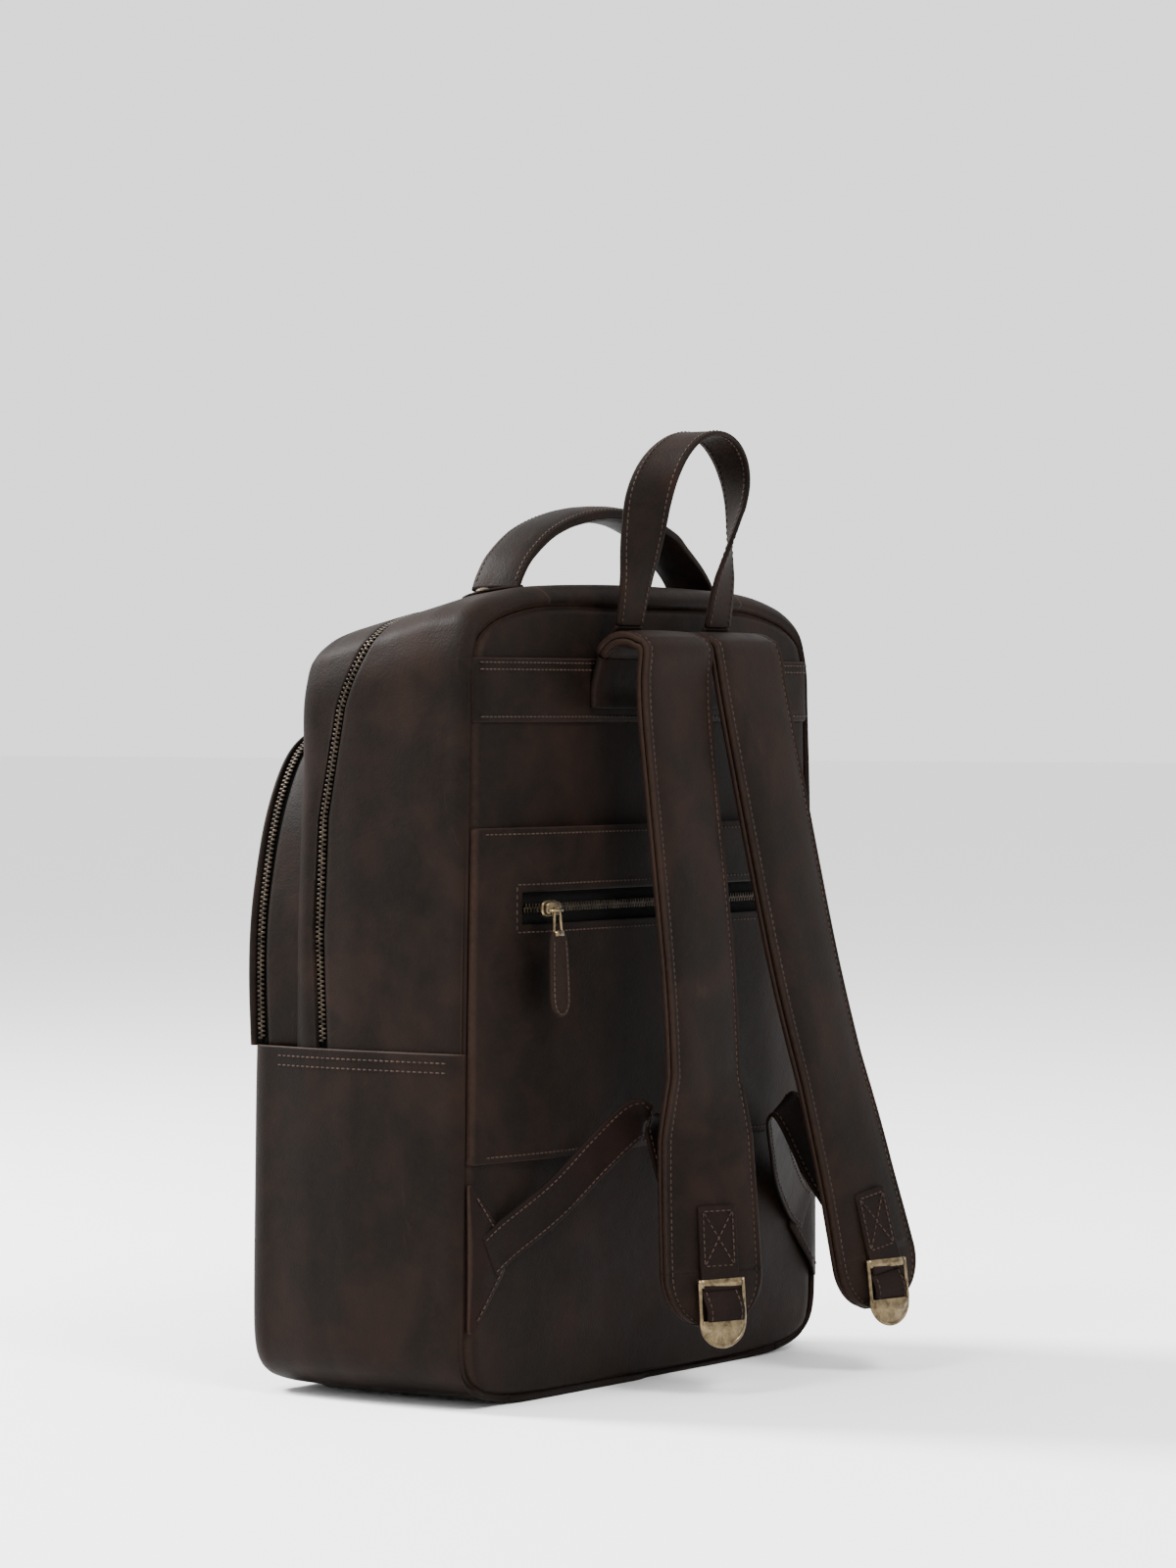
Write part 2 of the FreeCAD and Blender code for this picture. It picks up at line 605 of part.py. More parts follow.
def grab_handle():
    """The arched handle round its core, its sewn-in ends and their rivets."""
    crest = mm("bag_height")
    foot = mm("handle_half")
    rise = mm("handle_rise")
    radius = (foot ** 2 + rise ** 2) / (2 * rise)
    width, thick = mm("handle_width"), mm("handle_thick")
    place = mm("handle_place")
    low = crest + gap + 1.6
    centre = Vector(0, place - width / 2, low + rise - radius)
    pivot_height = low + width / 2
    above = box(-FAR, FAR, -FAR, FAR, pivot_height, FAR)
    ends = Part.makeCylinder(width / 2, 2 * FAR, Vector(-FAR, place, pivot_height), Vector(1, 0, 0))
    zone = above.fuse(ends)

    def arch(outer, inner, inset, zone_shape):
        ring = Part.makeCylinder(outer, width - 2 * inset, centre + Vector(0, inset, 0), Vector(0, 1, 0))
        hole = Part.makeCylinder(inner, width, centre, Vector(0, 1, 0))
        return ring.cut(hole).common(zone_shape)

    skin = mm("handle_skin")
    core_zone = box(-FAR, FAR, -FAR, FAR, pivot_height, FAR)
    cover = arch(radius, radius - thick, 0, zone)
    cavity = arch(radius - skin, radius - thick + skin, skin * 2, core_zone)
    shape_node("handle_cover", cover.cut(cavity))
    core_high = radius - thick / 2 + mm("core") / 2
    core = arch(core_high, core_high - mm("core"), width / 4, core_zone)
    shape_node("handle_core", core)
    for side, sign in SIDES.items():
        at = sign * (mm("handle_half") + mm("rivet_place"))
        x0, x1 = sorted((at - sign * 18, at + sign * 9))
        end = box(x0, x1, place - width / 2, place + width / 2, crest + gap / 3, crest + 1.6)
        pin = Part.makeCylinder(1.6, 5, Vector(at, place, crest - 2), Vector(0, 0, 1))
        cap = Part.makeSphere(mm("rivet"), Vector(at, place, crest + 1.6 - mm("rivet") + 1.4))
        cap = cap.common(box(-FAR, FAR, -FAR, FAR, crest + 1.6, FAR))
        shape_node("handle_end_" + side, end.cut(pin).cut(main_outer))
        shape_node("rivet_" + side, cap.fuse(pin.common(box(-FAR, FAR, -FAR, FAR, crest + gap / 3, FAR))))


def hanging_loop():
    """The leather band that stands at the yoke seam, turned edgewise over its top."""
    width, thick = mm("loop_width"), mm("loop_thick")
    spread, lean = mm("loop_half"), mm("loop_lean")
    base = loop_base
    arch = spread
    leg_top = loop_height - arch - thick / 2
    first_y = mm("back_face") + 16
    slope = lean / (loop_height - base)

    def station(across, height, share):
        """Share runs from 0 on the leg to 1 at the top, turning the band edgewise."""
        turn = math.radians(90 * share)
        point = Vector(across, first_y + slope * (height - base), height)
        flat = Vector(math.cos(turn), math.sin(turn), 0)
        return point, flat

    path = [(-spread, base, 0.0), (-spread, (base + leg_top) / 2, 0.0), (-spread, leg_top, 0.12)]
    steps = 8
    for k in range(1, steps):
        angle = math.radians(180 - 180 * k / steps)
        share = 0.12 + 0.88 * math.sin(angle)
        path.append((arch * math.cos(angle), leg_top + arch * math.sin(angle), share))
    path += [(-x, z, s) for x, z, s in reversed(path[:3])]
    stations = []
    for k, (across, height, share) in enumerate(path):
        point, flat = station(across, height, share)
        before, after = path[max(k - 1, 0)], path[min(k + 1, len(path) - 1)]
        along = Vector(after[0] - before[0], slope * (after[2 - 1] - before[1]), after[1] - before[1])
        if across > 0:
            flat = Vector(-flat.x, flat.y, 0)
        outward = along.cross(flat)
        stations.append((point, flat, outward))
    band = ribbon(stations, width, thick, -thick / 2)
    ends = [Part.makeCylinder(thick / 2, width, Vector(sign * spread - width / 2, first_y, base), Vector(1, 0, 0))
            for sign in SIDES.values()]
    shape_node("hanging_loop", band.fuse(ends))
    for side, sign in SIDES.items():
        foot = []
        over_yoke = back + mm("yoke_thick")
        low = (over_yoke + 0.1, yoke_high.number + 0.8)
        high = (first_y - 0.4, base - thick / 2 - gap - 0.4)
        for y, z in (low, (over_yoke + 4.6, base - 7), high):
            foot.append((Vector(sign * spread, y, z), Vector(1, 0, 0), Vector(0, 1, -0.5)))
        shape_node("loop_foot_" + side, ribbon(foot, width, thick, -thick / 2))


# ---------------------------------------------------------------- sliders and pulls


def slider_and_pull(name, place, hang, upright=False):
    """A slider on its zip, lying in its own XZ plane with +Y outward, and a pull on its bail."""
    long, wide, thick = mm("slider_length"), mm("slider_width"), mm("slider_thick")
    if upright:
        long, wide = wide, long
    pin = mm("pull_pin")
    body = box(-long / 2, long / 2, 0, thick, -wide / 2, wide / 2)
    lift = 2.3 * pin
    ear = box(-pin * 3.2, -pin * 1.8, thick, thick + lift + pin, -wide / 2, -wide / 2 + 3)
    other_ear = box(pin * 1.8, pin * 3.2, thick, thick + lift + pin, -wide / 2, -wide / 2 + 3)
    axis_at = Vector(-pin * 3.2, thick + lift, -wide / 2 + 1.5)
    axle = Part.makeCylinder(pin * 0.8, pin * 6.4, axis_at, Vector(1, 0, 0))
    slider = body.fuse([ear, other_ear, axle])
    slider.Placement = place
    shape_node(name + "_slider", slider)
    length, width, flat = mm("pull_length"), mm("pull_width"), mm("pull_thick")
    eye = Vector(-pin * 1.6, axis_at.y, axis_at.z)
    ring = Part.makeCylinder(pin * 1.9, pin * 3.2, eye, Vector(1, 0, 0))
    neck = box(-pin * 1.6, pin * 1.6, -flat / 2, flat / 2, -12, 0)
    tag = prism([
        (width * 0.3, -10, 3), (width / 2, -length + 14, 12), (width / 2, -length, width * 0.44),
        (-width / 2, -length, width * 0.44), (-width / 2, -length + 14, 12), (-width * 0.3, -10, 3),
    ], "XZ", -flat / 2, flat / 2)
    hanging = neck.fuse(tag)
    hanging.Placement = Placement(Vector(0, axis_at.y, axis_at.z), Rotation(Vector(1, 0, 0), hang))
    bore = Part.makeCylinder(pin * 0.8 + 0.1, pin * 8, Vector(-pin * 4, axis_at.y, axis_at.z),
                             Vector(1, 0, 0))
    pull = ring.fuse(hanging).cut(bore)
    pull.Placement = place.multiply(pull.Placement)
    shape_node(name + "_pull", pull)


def all_sliders():
    """The four sliders: back pocket, two on the main zip, one on the front pocket."""
    tape_face = (mm("back_face") + mm("sleeve_gap") + mm("backing") + mm("pocket_gap")
                 + mm("sleeve_leather"))
    clear = tape_face + gap
    middle = (slot_low.number + slot_high.number) / 2
    slider_and_pull("back", Placement(Vector(mm("slot_half") - 12, clear, middle), Rotation()), 2)
    run = mm("handle_place") - 18 - (mm("main_front") + 12)
    slope = math.atan2(20, run)
    height = mm("bag_height") - math.tan(slope) * (mm("handle_place") - 18 - mm("zip_top"))
    normal = Vector(0, -math.sin(slope), math.cos(slope))
    uphill = Vector(0, math.cos(slope), math.sin(slope))
    over = Rotation(Vector(-1, 0, 0), normal, uphill, "XYZ")
    for side, sign in SIDES.items():
        at = Vector(sign * 17, mm("zip_top"), height) + normal * gap
        slider_and_pull("main_" + side, Placement(at, over), 4)
    zip_line = mm("pocket_front") + mm("leather") + 1.4 + gap
    at = Vector(-half + 2 - gap, zip_line, mm("seam_height") + 40)
    slider_and_pull("front", Placement(at, Rotation(Vector(0, 0, 1), 90)), 2, upright=True)


# ---------------------------------------------------------------- build, check and write


def check_document():
    """Stop before anything is written if a feature failed or a sub-part has no sound shape."""
    for item in doc.Objects:
        bad = {"Invalid", "Error"} & set(item.State)
        if bad:
            raise RuntimeError("%s is %s" % (item.Label, sorted(bad)))
    labels = [node.Label for node in NODES]
    if len(set(labels)) != len(labels):
        raise RuntimeError("two sub-parts share a name")
    for node in NODES:
        if node.Shape.isNull() or not node.Shape.isValid() or not node.Shape.Solids:
            raise RuntimeError("%s has no sound shape" % node.Label)


lower_panels()
upper_shell()
pocket_panels()
linings()
back_panel()
harness_side()
for strap_side in SIDES:
    ladder_buckle(strap_side, shoulder_strap(strap_side))
    lower_webbing(strap_side)
grab_handle()
hanging_loop()
all_sliders()
doc.recompute()
check_document()
os.makedirs("parts", exist_ok=True)
for node in NODES:
    node.Shape.exportStep("parts/%s.step" % node.Label)
print("%d sub-parts written" % len(NODES))
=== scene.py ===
import json
import math

import bmesh
import bpy
import numpy as np
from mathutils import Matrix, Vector


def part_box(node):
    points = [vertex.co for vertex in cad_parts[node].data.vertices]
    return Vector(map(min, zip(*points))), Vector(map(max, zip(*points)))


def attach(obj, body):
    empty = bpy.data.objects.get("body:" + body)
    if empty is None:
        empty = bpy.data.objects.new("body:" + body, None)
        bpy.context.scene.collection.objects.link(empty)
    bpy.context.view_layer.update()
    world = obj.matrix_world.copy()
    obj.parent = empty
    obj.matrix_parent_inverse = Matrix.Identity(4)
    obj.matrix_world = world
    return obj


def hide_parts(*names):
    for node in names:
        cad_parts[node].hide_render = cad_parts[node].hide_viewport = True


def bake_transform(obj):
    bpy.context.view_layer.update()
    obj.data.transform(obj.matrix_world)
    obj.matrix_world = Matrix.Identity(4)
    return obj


# Shapes are worked out in millimetres in the row frame and become metres in add_mesh().
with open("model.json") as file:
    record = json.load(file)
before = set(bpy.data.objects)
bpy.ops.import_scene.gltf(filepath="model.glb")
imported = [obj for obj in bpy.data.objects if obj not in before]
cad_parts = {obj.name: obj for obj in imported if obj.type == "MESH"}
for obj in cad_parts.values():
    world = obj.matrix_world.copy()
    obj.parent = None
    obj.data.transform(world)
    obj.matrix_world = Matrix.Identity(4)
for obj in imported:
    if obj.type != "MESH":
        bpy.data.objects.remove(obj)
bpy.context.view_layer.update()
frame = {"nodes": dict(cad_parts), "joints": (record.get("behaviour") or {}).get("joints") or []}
MM = 0.001


def cad(node):
    """Lowest and highest corner of a CAD node, in millimetres."""
    low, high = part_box(node)
    return np.array(low) / MM, np.array(high) / MM


BACK = cad("back_panel_leather")[1][1]
SIDE = cad("lower_side_right")[1][0]
TOP = cad("gusset_top")[1][2]
SEAM = cad("gusset_right")[0][2]
FRONT = cad("pocket_front_panel")[0][1]
LEATHER = 2.2
INSIDE = (0.0, 10.0, 200.0)
BEHIND_BACK = (0, 0, 200)
SIDES = {"right": 1, "left": -1}


# ---------------------------------------------------------------- curves and grids


def spline(points, count):
    """A Catmull-Rom curve through points, sampled evenly along its length."""
    p = np.array(points, float)
    p = np.vstack([2 * p[0] - p[1], p, 2 * p[-1] - p[-2]])
    u = np.linspace(0, 1, 24, endpoint=False)[:, None]
    parts = []
    for k in range(1, len(p) - 2):
        a, b, c, d = p[k - 1:k + 3]
        parts.append(0.5 * (2 * b + (c - a) * u + (2 * a - 5 * b + 4 * c - d) * u ** 2
                            + (3 * b - a - 3 * c + d) * u ** 3))
    return resample(np.vstack(parts + [p[-2:-1]]), count)


def resample(p, count):
    """The same polyline with evenly spaced points, or points at the given shares of its length."""
    run = np.concatenate([[0], np.cumsum(np.linalg.norm(np.diff(p, axis=0), axis=1))])
    at = np.linspace(0, 1, count) if np.isscalar(count) else np.array(count)
    return np.stack([np.interp(at * run[-1], run, p[:, k]) for k in range(p.shape[1])], 1)


def length_of(p):
    """The length of a polyline."""
    return float(np.linalg.norm(np.diff(p, axis=0), axis=1).sum())


def shares(length, step, edge=1.0):
    """Sample places from 0 to 1, with one extra near each end so that an edge stays crisp."""
    inner = np.linspace(edge / length, 1 - edge / length, max(int(length / step), 2))
    return np.concatenate([[0], inner, [1]])


def unit(v):
    """Vectors scaled to a length of one."""
    return v / np.maximum(np.linalg.norm(v, axis=-1, keepdims=True), 1e-12)


def grid_normals(p):
    """Unit normals of a grid of points."""
    du = np.gradient(p, axis=0)
    dv = np.gradient(p, axis=1)
    return unit(np.cross(du, dv))


def smoothstep(x, low, high):
    """From 0 at low to 1 at high, level at both ends."""
    s = np.clip((x - low) / (high - low), 0, 1)
    return s * s * (3 - 2 * s)


def dents(p, size, seed=0.0):
    """Soft, slow unevenness of a worked hide, between about -1 and 1, the same on every run."""
    k = 2 * math.pi / size
    x, y, z = p[..., 0] * k, p[..., 1] * k, p[..., 2] * k
    return (np.sin(x * 0.9 + 1.7 * np.sin(z * 0.53 + seed) + seed)
            + np.sin(z * 0.71 + 1.3 * np.sin(y * 0.8 + x * 0.4) + 2.1 * seed)
            + np.sin((x + y) * 0.37 - z * 0.45 + 3.3 * seed)) / 3


# ---------------------------------------------------------------- meshes


def add_mesh(name, verts, faces, material, wear=None, smooth=True):
    """A mesh object from points in millimetres, with the wear of each point for its material."""
    name = name + "_skin" if name in frame["nodes"] else name
    mesh = bpy.data.meshes.new(name)
    mesh.from_pydata((np.asarray(verts) * MM).tolist(), [], [list(map(int, f)) for f in faces])
    mesh.validate()
    mesh.update()
    if smooth:
        mesh.polygons.foreach_set("use_smooth", [True] * len(mesh.polygons))
    attribute = mesh.attributes.new("wear", "FLOAT", "POINT")
    if wear is not None:
        attribute.data.foreach_set("value", np.asarray(wear, np.float32).ravel())
    obj = bpy.data.objects.new(name, mesh)
    bpy.context.scene.collection.objects.link(obj)
    obj.data.materials.append(material)
    return obj


def finish_piece(obj, body, replaced=()):
    """Hangs a piece on its body, if it is given one, and hides the CAD parts that it replaces."""
    if body:
        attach(obj, body)
    if replaced:
        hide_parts(*replaced)
    return obj


INNER_WEAR = 0.6


def shell_data(p, thick, outward=1, edge_wear=1.0):
    """A sheet of leather over a grid of points: outer skin, inner skin and rounded rims."""
    rows, cols = p.shape[:2]
    n = grid_normals(p) * outward
    n_verts = rows * cols
    verts = np.concatenate([p.reshape(-1, 3), (p - n * thick).reshape(-1, 3)])
    index = np.arange(n_verts).reshape(rows, cols)
    quads = []

    def patch(ids, flip):
        """The quads of one skin."""
        a, b, c, d = ids[:-1, :-1], ids[1:, :-1], ids[1:, 1:], ids[:-1, 1:]
        q = np.stack([a, b, c, d] if not flip else [d, c, b, a], -1).reshape(-1, 4)
        quads.append(q)

    patch(index, outward < 0)
    patch(index + n_verts, outward > 0)
    rim = np.concatenate([index[0, :-1], index[:-1, -1], index[-1, :0:-1], index[:0:-1, 0]])
    nxt = np.roll(rim, -1)
    wall = np.stack([rim, nxt, nxt + n_verts, rim + n_verts], -1)
    quads.append(wall if outward > 0 else wall[:, ::-1])
    wear = np.zeros((rows, cols))
    wear[[0, -1], :] = edge_wear
    wear[:, [0, -1]] = edge_wear
    return verts, np.concatenate(quads), np.concatenate([wear.ravel(), wear.ravel() * INNER_WEAR])


def shell(name, p, thick, material, **options):
    """A mesh object from shell_data()."""
    verts, faces, wear = shell_data(p, thick, **options)
    return add_mesh(name, verts, faces, material, wear)


def loft_data(rings):
    """Closed rings of points joined one to the next, with both ends closed."""
    rings = np.asarray(rings)
    count, around = rings.shape[:2]
    ids = np.arange(count * around).reshape(count, around)
    nxt = np.roll(ids, -1, axis=1)
    quads = np.stack([ids[:-1], nxt[:-1], nxt[1:], ids[1:]], -1).reshape(-1, 4).tolist()
    verts = rings.reshape(-1, 3)
    quads.append(ids[0][::-1].tolist())
    quads.append(ids[-1].tolist())
    return verts, quads


def box_data(centre, size, axes):
    """A box about a centre, its three sizes along three axes."""
    corners = np.array([[x, y, z] for x in (-1, 1) for y in (-1, 1) for z in (-1, 1)]) / 2 * size
    verts = np.asarray(centre) + corners @ np.asarray(axes)
    faces = [[0, 1, 3, 2], [4, 6, 7, 5], [0, 4, 5, 1], [2, 3, 7, 6], [0, 2, 6, 4], [1, 5, 7, 3]]
    return verts, faces


class Pile:
    """Collects small meshes and joins them into one."""

    def __init__(self):
        self.verts, self.faces, self.count = [], [], 0

    def add(self, verts, faces):
        self.verts.append(np.asarray(verts))
        self.faces.extend([[i + self.count for i in f] for f in faces])
        self.count += len(verts)

    def build(self, name, material, smooth=True):
        return add_mesh(name, np.vstack(self.verts), self.faces, material, smooth=smooth)


# ---------------------------------------------------------------- stitches and zip teeth


STITCH_PITCH = 3.5
STITCH_LENGTH = 2.7
STITCH_RADIUS = 0.42


def along(path, normals, pitch, inset=0.0):
    """Evenly spaced frames on a path: point, direction, normal."""
    run = length_of(path)
    count = max(int((run - 2 * inset) / pitch), 1)
    at = (inset + (np.arange(count) + 0.5) * (run - 2 * inset) / count) / run
    point = resample(path, at)
    normal = unit(resample_values(path, normals, at))
    step = 0.5 / run
    ahead = resample(path, np.clip(at + step, 0, 1))
    behind = resample(path, np.clip(at - step, 0, 1))
    direction = unit(ahead - behind)
    return point, direction, unit(normal - direction * (normal * direction).sum(1, keepdims=True))


def resample_values(path, values, at):
    """Values that go with a path's points, at the given shares of its length."""
    run = np.concatenate([[0], np.cumsum(np.linalg.norm(np.diff(path, axis=0), axis=1))])
    return np.stack([np.interp(at * run[-1], run, values[:, k]) for k in range(values.shape[1])], 1)


def stitch_row(pile, path, normals, lift=0.05, pitch=STITCH_PITCH):
    """A row of short thread capsules that dip into the leather at both ends."""
    path = np.asarray(path, float)
    normals = np.broadcast_to(np.asarray(normals, float), path.shape)
    points, directions, up = along(path, normals, pitch, 0.4)
    across = np.cross(directions, up)
    stations = [(-0.5, 0.35, -0.55), (-0.36, 0.9, -0.05), (0, 1.0, 0.16), (0.36, 0.9, -0.05),
                (0.5, 0.35, -0.55)]
    turns = np.arange(6) / 6 * 2 * math.pi
    for point, direction, normal, side in zip(points, directions, up, across):
        rings = []
        for place, girth, height in stations:
            rise = lift + height * STITCH_RADIUS * 1.6
            centre = point + direction * place * STITCH_LENGTH + normal * rise
            radius = STITCH_RADIUS * girth
            rings.append([centre + (side * math.cos(a) + normal * math.sin(a)) * radius for a in turns])
        pile.add(*loft_data(rings))


def teeth_row(pile, path, normals, pitch=2.5, reach=2.6, height=1.5):
    """The two interlocking rows of metal teeth of a closed zip."""
    path = np.asarray(path, float)
    normals = np.broadcast_to(np.asarray(normals, float), path.shape)
    points, directions, up = along(path, normals, pitch / 2, 0.5)
    for k, (point, direction, normal) in enumerate(zip(points, directions, up)):
        side = np.cross(direction, normal) * (1 if k % 2 else -1)
        centre = point + side * reach * 0.42
        rings = []
        for place, wide, tall in ((-0.62, 0.5, 0.75), (-0.45, 0.72, 1.0), (0.3, 0.6, 0.95), (0.5, 0.36, 0.7)):
            middle = centre + side * place * reach
            a = direction * pitch * 0.36 * wide
            b = normal * height * 0.5 * tall
            rings.append([middle - a - b, middle - a + b * 0.8, middle - a * 0.5 + b, middle + a * 0.5 + b,
                          middle + a + b * 0.8, middle + a - b])
        pile.add(*loft_data(rings))


# ---------------------------------------------------------------- materials


def node_material(name):
    """A new material with its tree, its shader and the piece's own coordinates."""
    material = bpy.data.materials.new(name)
    material.use_nodes = True
    tree = material.node_tree
    shader = tree.nodes["Principled BSDF"]
    coords = tree.nodes.new("ShaderNodeTexCoord")
    return material, tree, shader, coords.outputs["Object"]


def noise(tree, coords, scale, detail=3.0, rough=0.5, distortion=0.0, stretch=None):
    """A noise texture's value, stretched along an axis if asked."""
    if stretch:
        mapping = tree.nodes.new("ShaderNodeMapping")
        mapping.inputs["Scale"].default_value = stretch
        tree.links.new(coords, mapping.inputs["Vector"])
        coords = mapping.outputs["Vector"]
    node = tree.nodes.new("ShaderNodeTexNoise")
    node.inputs["Scale"].default_value = scale
    node.inputs["Detail"].default_value = detail
    node.inputs["Roughness"].default_value = rough
    node.inputs["Distortion"].default_value = distortion
    tree.links.new(coords, node.inputs["Vector"])
    return node.outputs["Fac"]


def ramp(tree, value, stops):
    """A colour ramp through (place, colour) stops."""
    node = tree.nodes.new("ShaderNodeValToRGB")
    while len(node.color_ramp.elements) < len(stops):
        node.color_ramp.elements.new(0.5)
    for element, (place, colour) in zip(node.color_ramp.elements, stops):
        element.position = place
        element.color = (*colour, 1) if len(colour) == 3 else colour
    tree.links.new(value, node.inputs["Fac"])
    return node.outputs["Color"]


def mix_colour(tree, factor, a, b):
    """A mix of two colours, each a fixed value or another node's output."""
    node = tree.nodes.new("ShaderNodeMix")
    node.data_type = "RGBA"
    for socket, value in ((node.inputs[0], factor), (node.inputs[6], a), (node.inputs[7], b)):
        if isinstance(value, (tuple, float, int)):
            socket.default_value = (*value, 1) if isinstance(value, tuple) else value
        else:
            tree.links.new(value, socket)
    return node.outputs[2]


def maths(tree, operation, a, b=0.0, clamp=False):
    """One arithmetic step on fixed values or other nodes' outputs."""
    node = tree.nodes.new("ShaderNodeMath")
    node.operation = operation
    node.use_clamp = clamp
    for socket, value in zip(node.inputs, (a, b)):
        if isinstance(value, (float, int)):
            socket.default_value = value
        else:
            tree.links.new(value, socket)
    return node.outputs[0]


def bump(tree, height, strength, distance, before=None):
    """A bump from a height, on top of an earlier one if there is any."""
    node = tree.nodes.new("ShaderNodeBump")
    node.inputs["Strength"].default_value = strength
    node.inputs["Distance"].default_value = distance
    tree.links.new(height, node.inputs["Height"])
    if before:
        tree.links.new(before, node.inputs["Normal"])
    return node.outputs["Normal"]


def leather_material(name, dark, mid, warm, worn, grain=1.0):
    """Waxed pull-up leather: slow colour drift, a fine pebble grain, scuffs and paler worn edges."""
    material, tree, shader, coords = node_material(name)
    drift = noise(tree, coords, 13.0, 3.0, 0.55, 0.6)
    patches = noise(tree, coords, 42.0, 4.0, 0.6, 0.4)
    mottled = mix_colour(tree, 0.45, ramp(tree, drift, [(0.38, dark), (0.5, mid), (0.60, warm)]),
                         ramp(tree, patches, [(0.36, dark), (0.5, mid), (0.64, warm)]))
    fine = noise(tree, coords, 420.0, 2.0, 0.6)
    mottled = mix_colour(tree, maths(tree, "MULTIPLY", fine, 0.5), mottled, warm)
    scuffs = noise(tree, coords, 60.0, 5.0, 0.75, 1.2, (1.0, 1.0, 0.35))
    scuff_mask = ramp(tree, scuffs, [(0.64, (0, 0, 0)), (0.78, (1, 1, 1))])
    mottled = mix_colour(tree, maths(tree, "MULTIPLY", scuff_mask, 0.38), mottled, worn)
    attribute = tree.nodes.new("ShaderNodeAttribute")
    attribute.attribute_name = "wear"
    edge = maths(tree, "MULTIPLY", attribute.outputs["Fac"], maths(tree, "ADD", fine, 0.25), clamp=True)
    tree.links.new(mix_colour(tree, edge, mottled, worn), shader.inputs["Base Color"])
    rough = maths(tree, "ADD", maths(tree, "MULTIPLY", patches, 0.25), 0.46, clamp=True)
    tree.links.new(rough, shader.inputs["Roughness"])
    shader.inputs["Specular IOR Level"].default_value = 0.045
    cells = tree.nodes.new("ShaderNodeTexVoronoi")
    cells.feature = "SMOOTH_F1"
    cells.inputs["Scale"].default_value = 900.0
    cells.inputs["Smoothness"].default_value = 0.6
    tree.links.new(coords, cells.inputs["Vector"])
    creases = noise(tree, coords, 160.0, 4.0, 0.65, 0.8)
    slow = bump(tree, noise(tree, coords, 30.0, 3.0, 0.5), 0.5, 0.0012 * grain)
    middle = bump(tree, creases, 0.35, 0.0005 * grain, slow)
    tree.links.new(bump(tree, cells.outputs["Distance"], 0.45, 0.00022 * grain, middle),
                   shader.inputs["Normal"])
    return material


def fabric_material(name, colour, scale=900.0, lighter=1.6):
    """A plain weave: two crossed waves over a slight drift in tone."""
    material, tree, shader, coords = node_material(name)
    waves = []
    for direction in ("X", "Z"):
        wave = tree.nodes.new("ShaderNodeTexWave")
        wave.bands_direction = direction
        wave.inputs["Scale"].default_value = scale / 3
        wave.inputs["Distortion"].default_value = 0.6
        tree.links.new(coords, wave.inputs["Vector"])
        waves.append(wave.outputs["Fac"])
    weave = maths(tree, "MAXIMUM", *waves)
    light = tuple(min(c * lighter, 1) for c in colour)
    tone = mix_colour(tree, noise(tree, coords, 80.0), colour, light)
    tree.links.new(mix_colour(tree, maths(tree, "MULTIPLY", weave, 0.5), tone, light),
                   shader.inputs["Base Color"])
    shader.inputs["Roughness"].default_value = 0.85
    shader.inputs["Specular IOR Level"].default_value = 0.05
    tree.links.new(bump(tree, weave, 0.5, 0.0003), shader.inputs["Normal"])
    return material


def metal_material(name, bright, dull, rough=0.3, mask=(0.42, 0.62)):
    """Antique plated metal: bright where it is rubbed, browned in the rest."""
    material, tree, shader, coords = node_material(name)
    tarnish = noise(tree, coords, 180.0, 5.0, 0.65, 0.5)
    tree.links.new(ramp(tree, tarnish, [(mask[0], bright), (mask[1], dull)]), shader.inputs["Base Color"])
    fine = noise(tree, coords, 900.0, 3.0, 0.6)
    tree.links.new(maths(tree, "ADD", maths(tree, "MULTIPLY", fine, 0.25), rough - 0.1),
                   shader.inputs["Roughness"])
    shader.inputs["Metallic"].default_value = 1.0
    tree.links.new(bump(tree, fine, 0.15, 0.0001), shader.inputs["Normal"])
    return material


def thread_material():
    """Waxed polyester thread with its twist showing as a fine ripple."""
    material, tree, shader, coords = node_material("thread_tan")
    twist = noise(tree, coords, 1600.0, 2.0, 0.5)
    tone = noise(tree, coords, 90.0, 2.0, 0.5)
    colour = ramp(tree, tone, [(0.35, (0.012, 0.0066, 0.0046)), (0.65, (0.032, 0.019, 0.0135))])
    tree.links.new(mix_colour(tree, maths(tree, "MULTIPLY", twist, 0.4), colour, (0.050, 0.032, 0.024)),
                   shader.inputs["Base Color"])
    shader.inputs["Roughness"].default_value = 0.6
    shader.inputs["Specular IOR Level"].default_value = 0.10
    tree.links.new(bump(tree, twist, 0.6, 0.0002), shader.inputs["Normal"])
    return material


DARK = (0.0013, 0.0013, 0.0010)
MID = (0.0040, 0.0027, 0.0020)
WARM = (0.0098, 0.0051, 0.0036)
WORN = (0.0250, 0.0140, 0.0100)
HIDE = leather_material("hide_leather", DARK, MID, WARM, WORN)
TRIM = leather_material("trim_leather", (0.0022, 0.0017, 0.0013), (0.0044, 0.0026, 0.0020),
                        (0.0078, 0.0039, 0.0029), WORN, 1.1)
THREAD = thread_material()
TAPE = fabric_material("zip_tape_weave", (0.0016, 0.0014, 0.0013), 1400.0)
TEETH = metal_material("bronze_teeth", (0.034, 0.026, 0.018), (0.011, 0.0085, 0.0062), 0.42)
BRASS = metal_material("antique_brass", (0.18, 0.135, 0.075), (0.058, 0.042, 0.024), 0.30, (0.40, 0.66))
LINING = fabric_material("lining_weave", (0.012, 0.0105, 0.0092), 700.0)
FOAM = fabric_material("foam_skin", (0.020, 0.020, 0.020), 260.0)
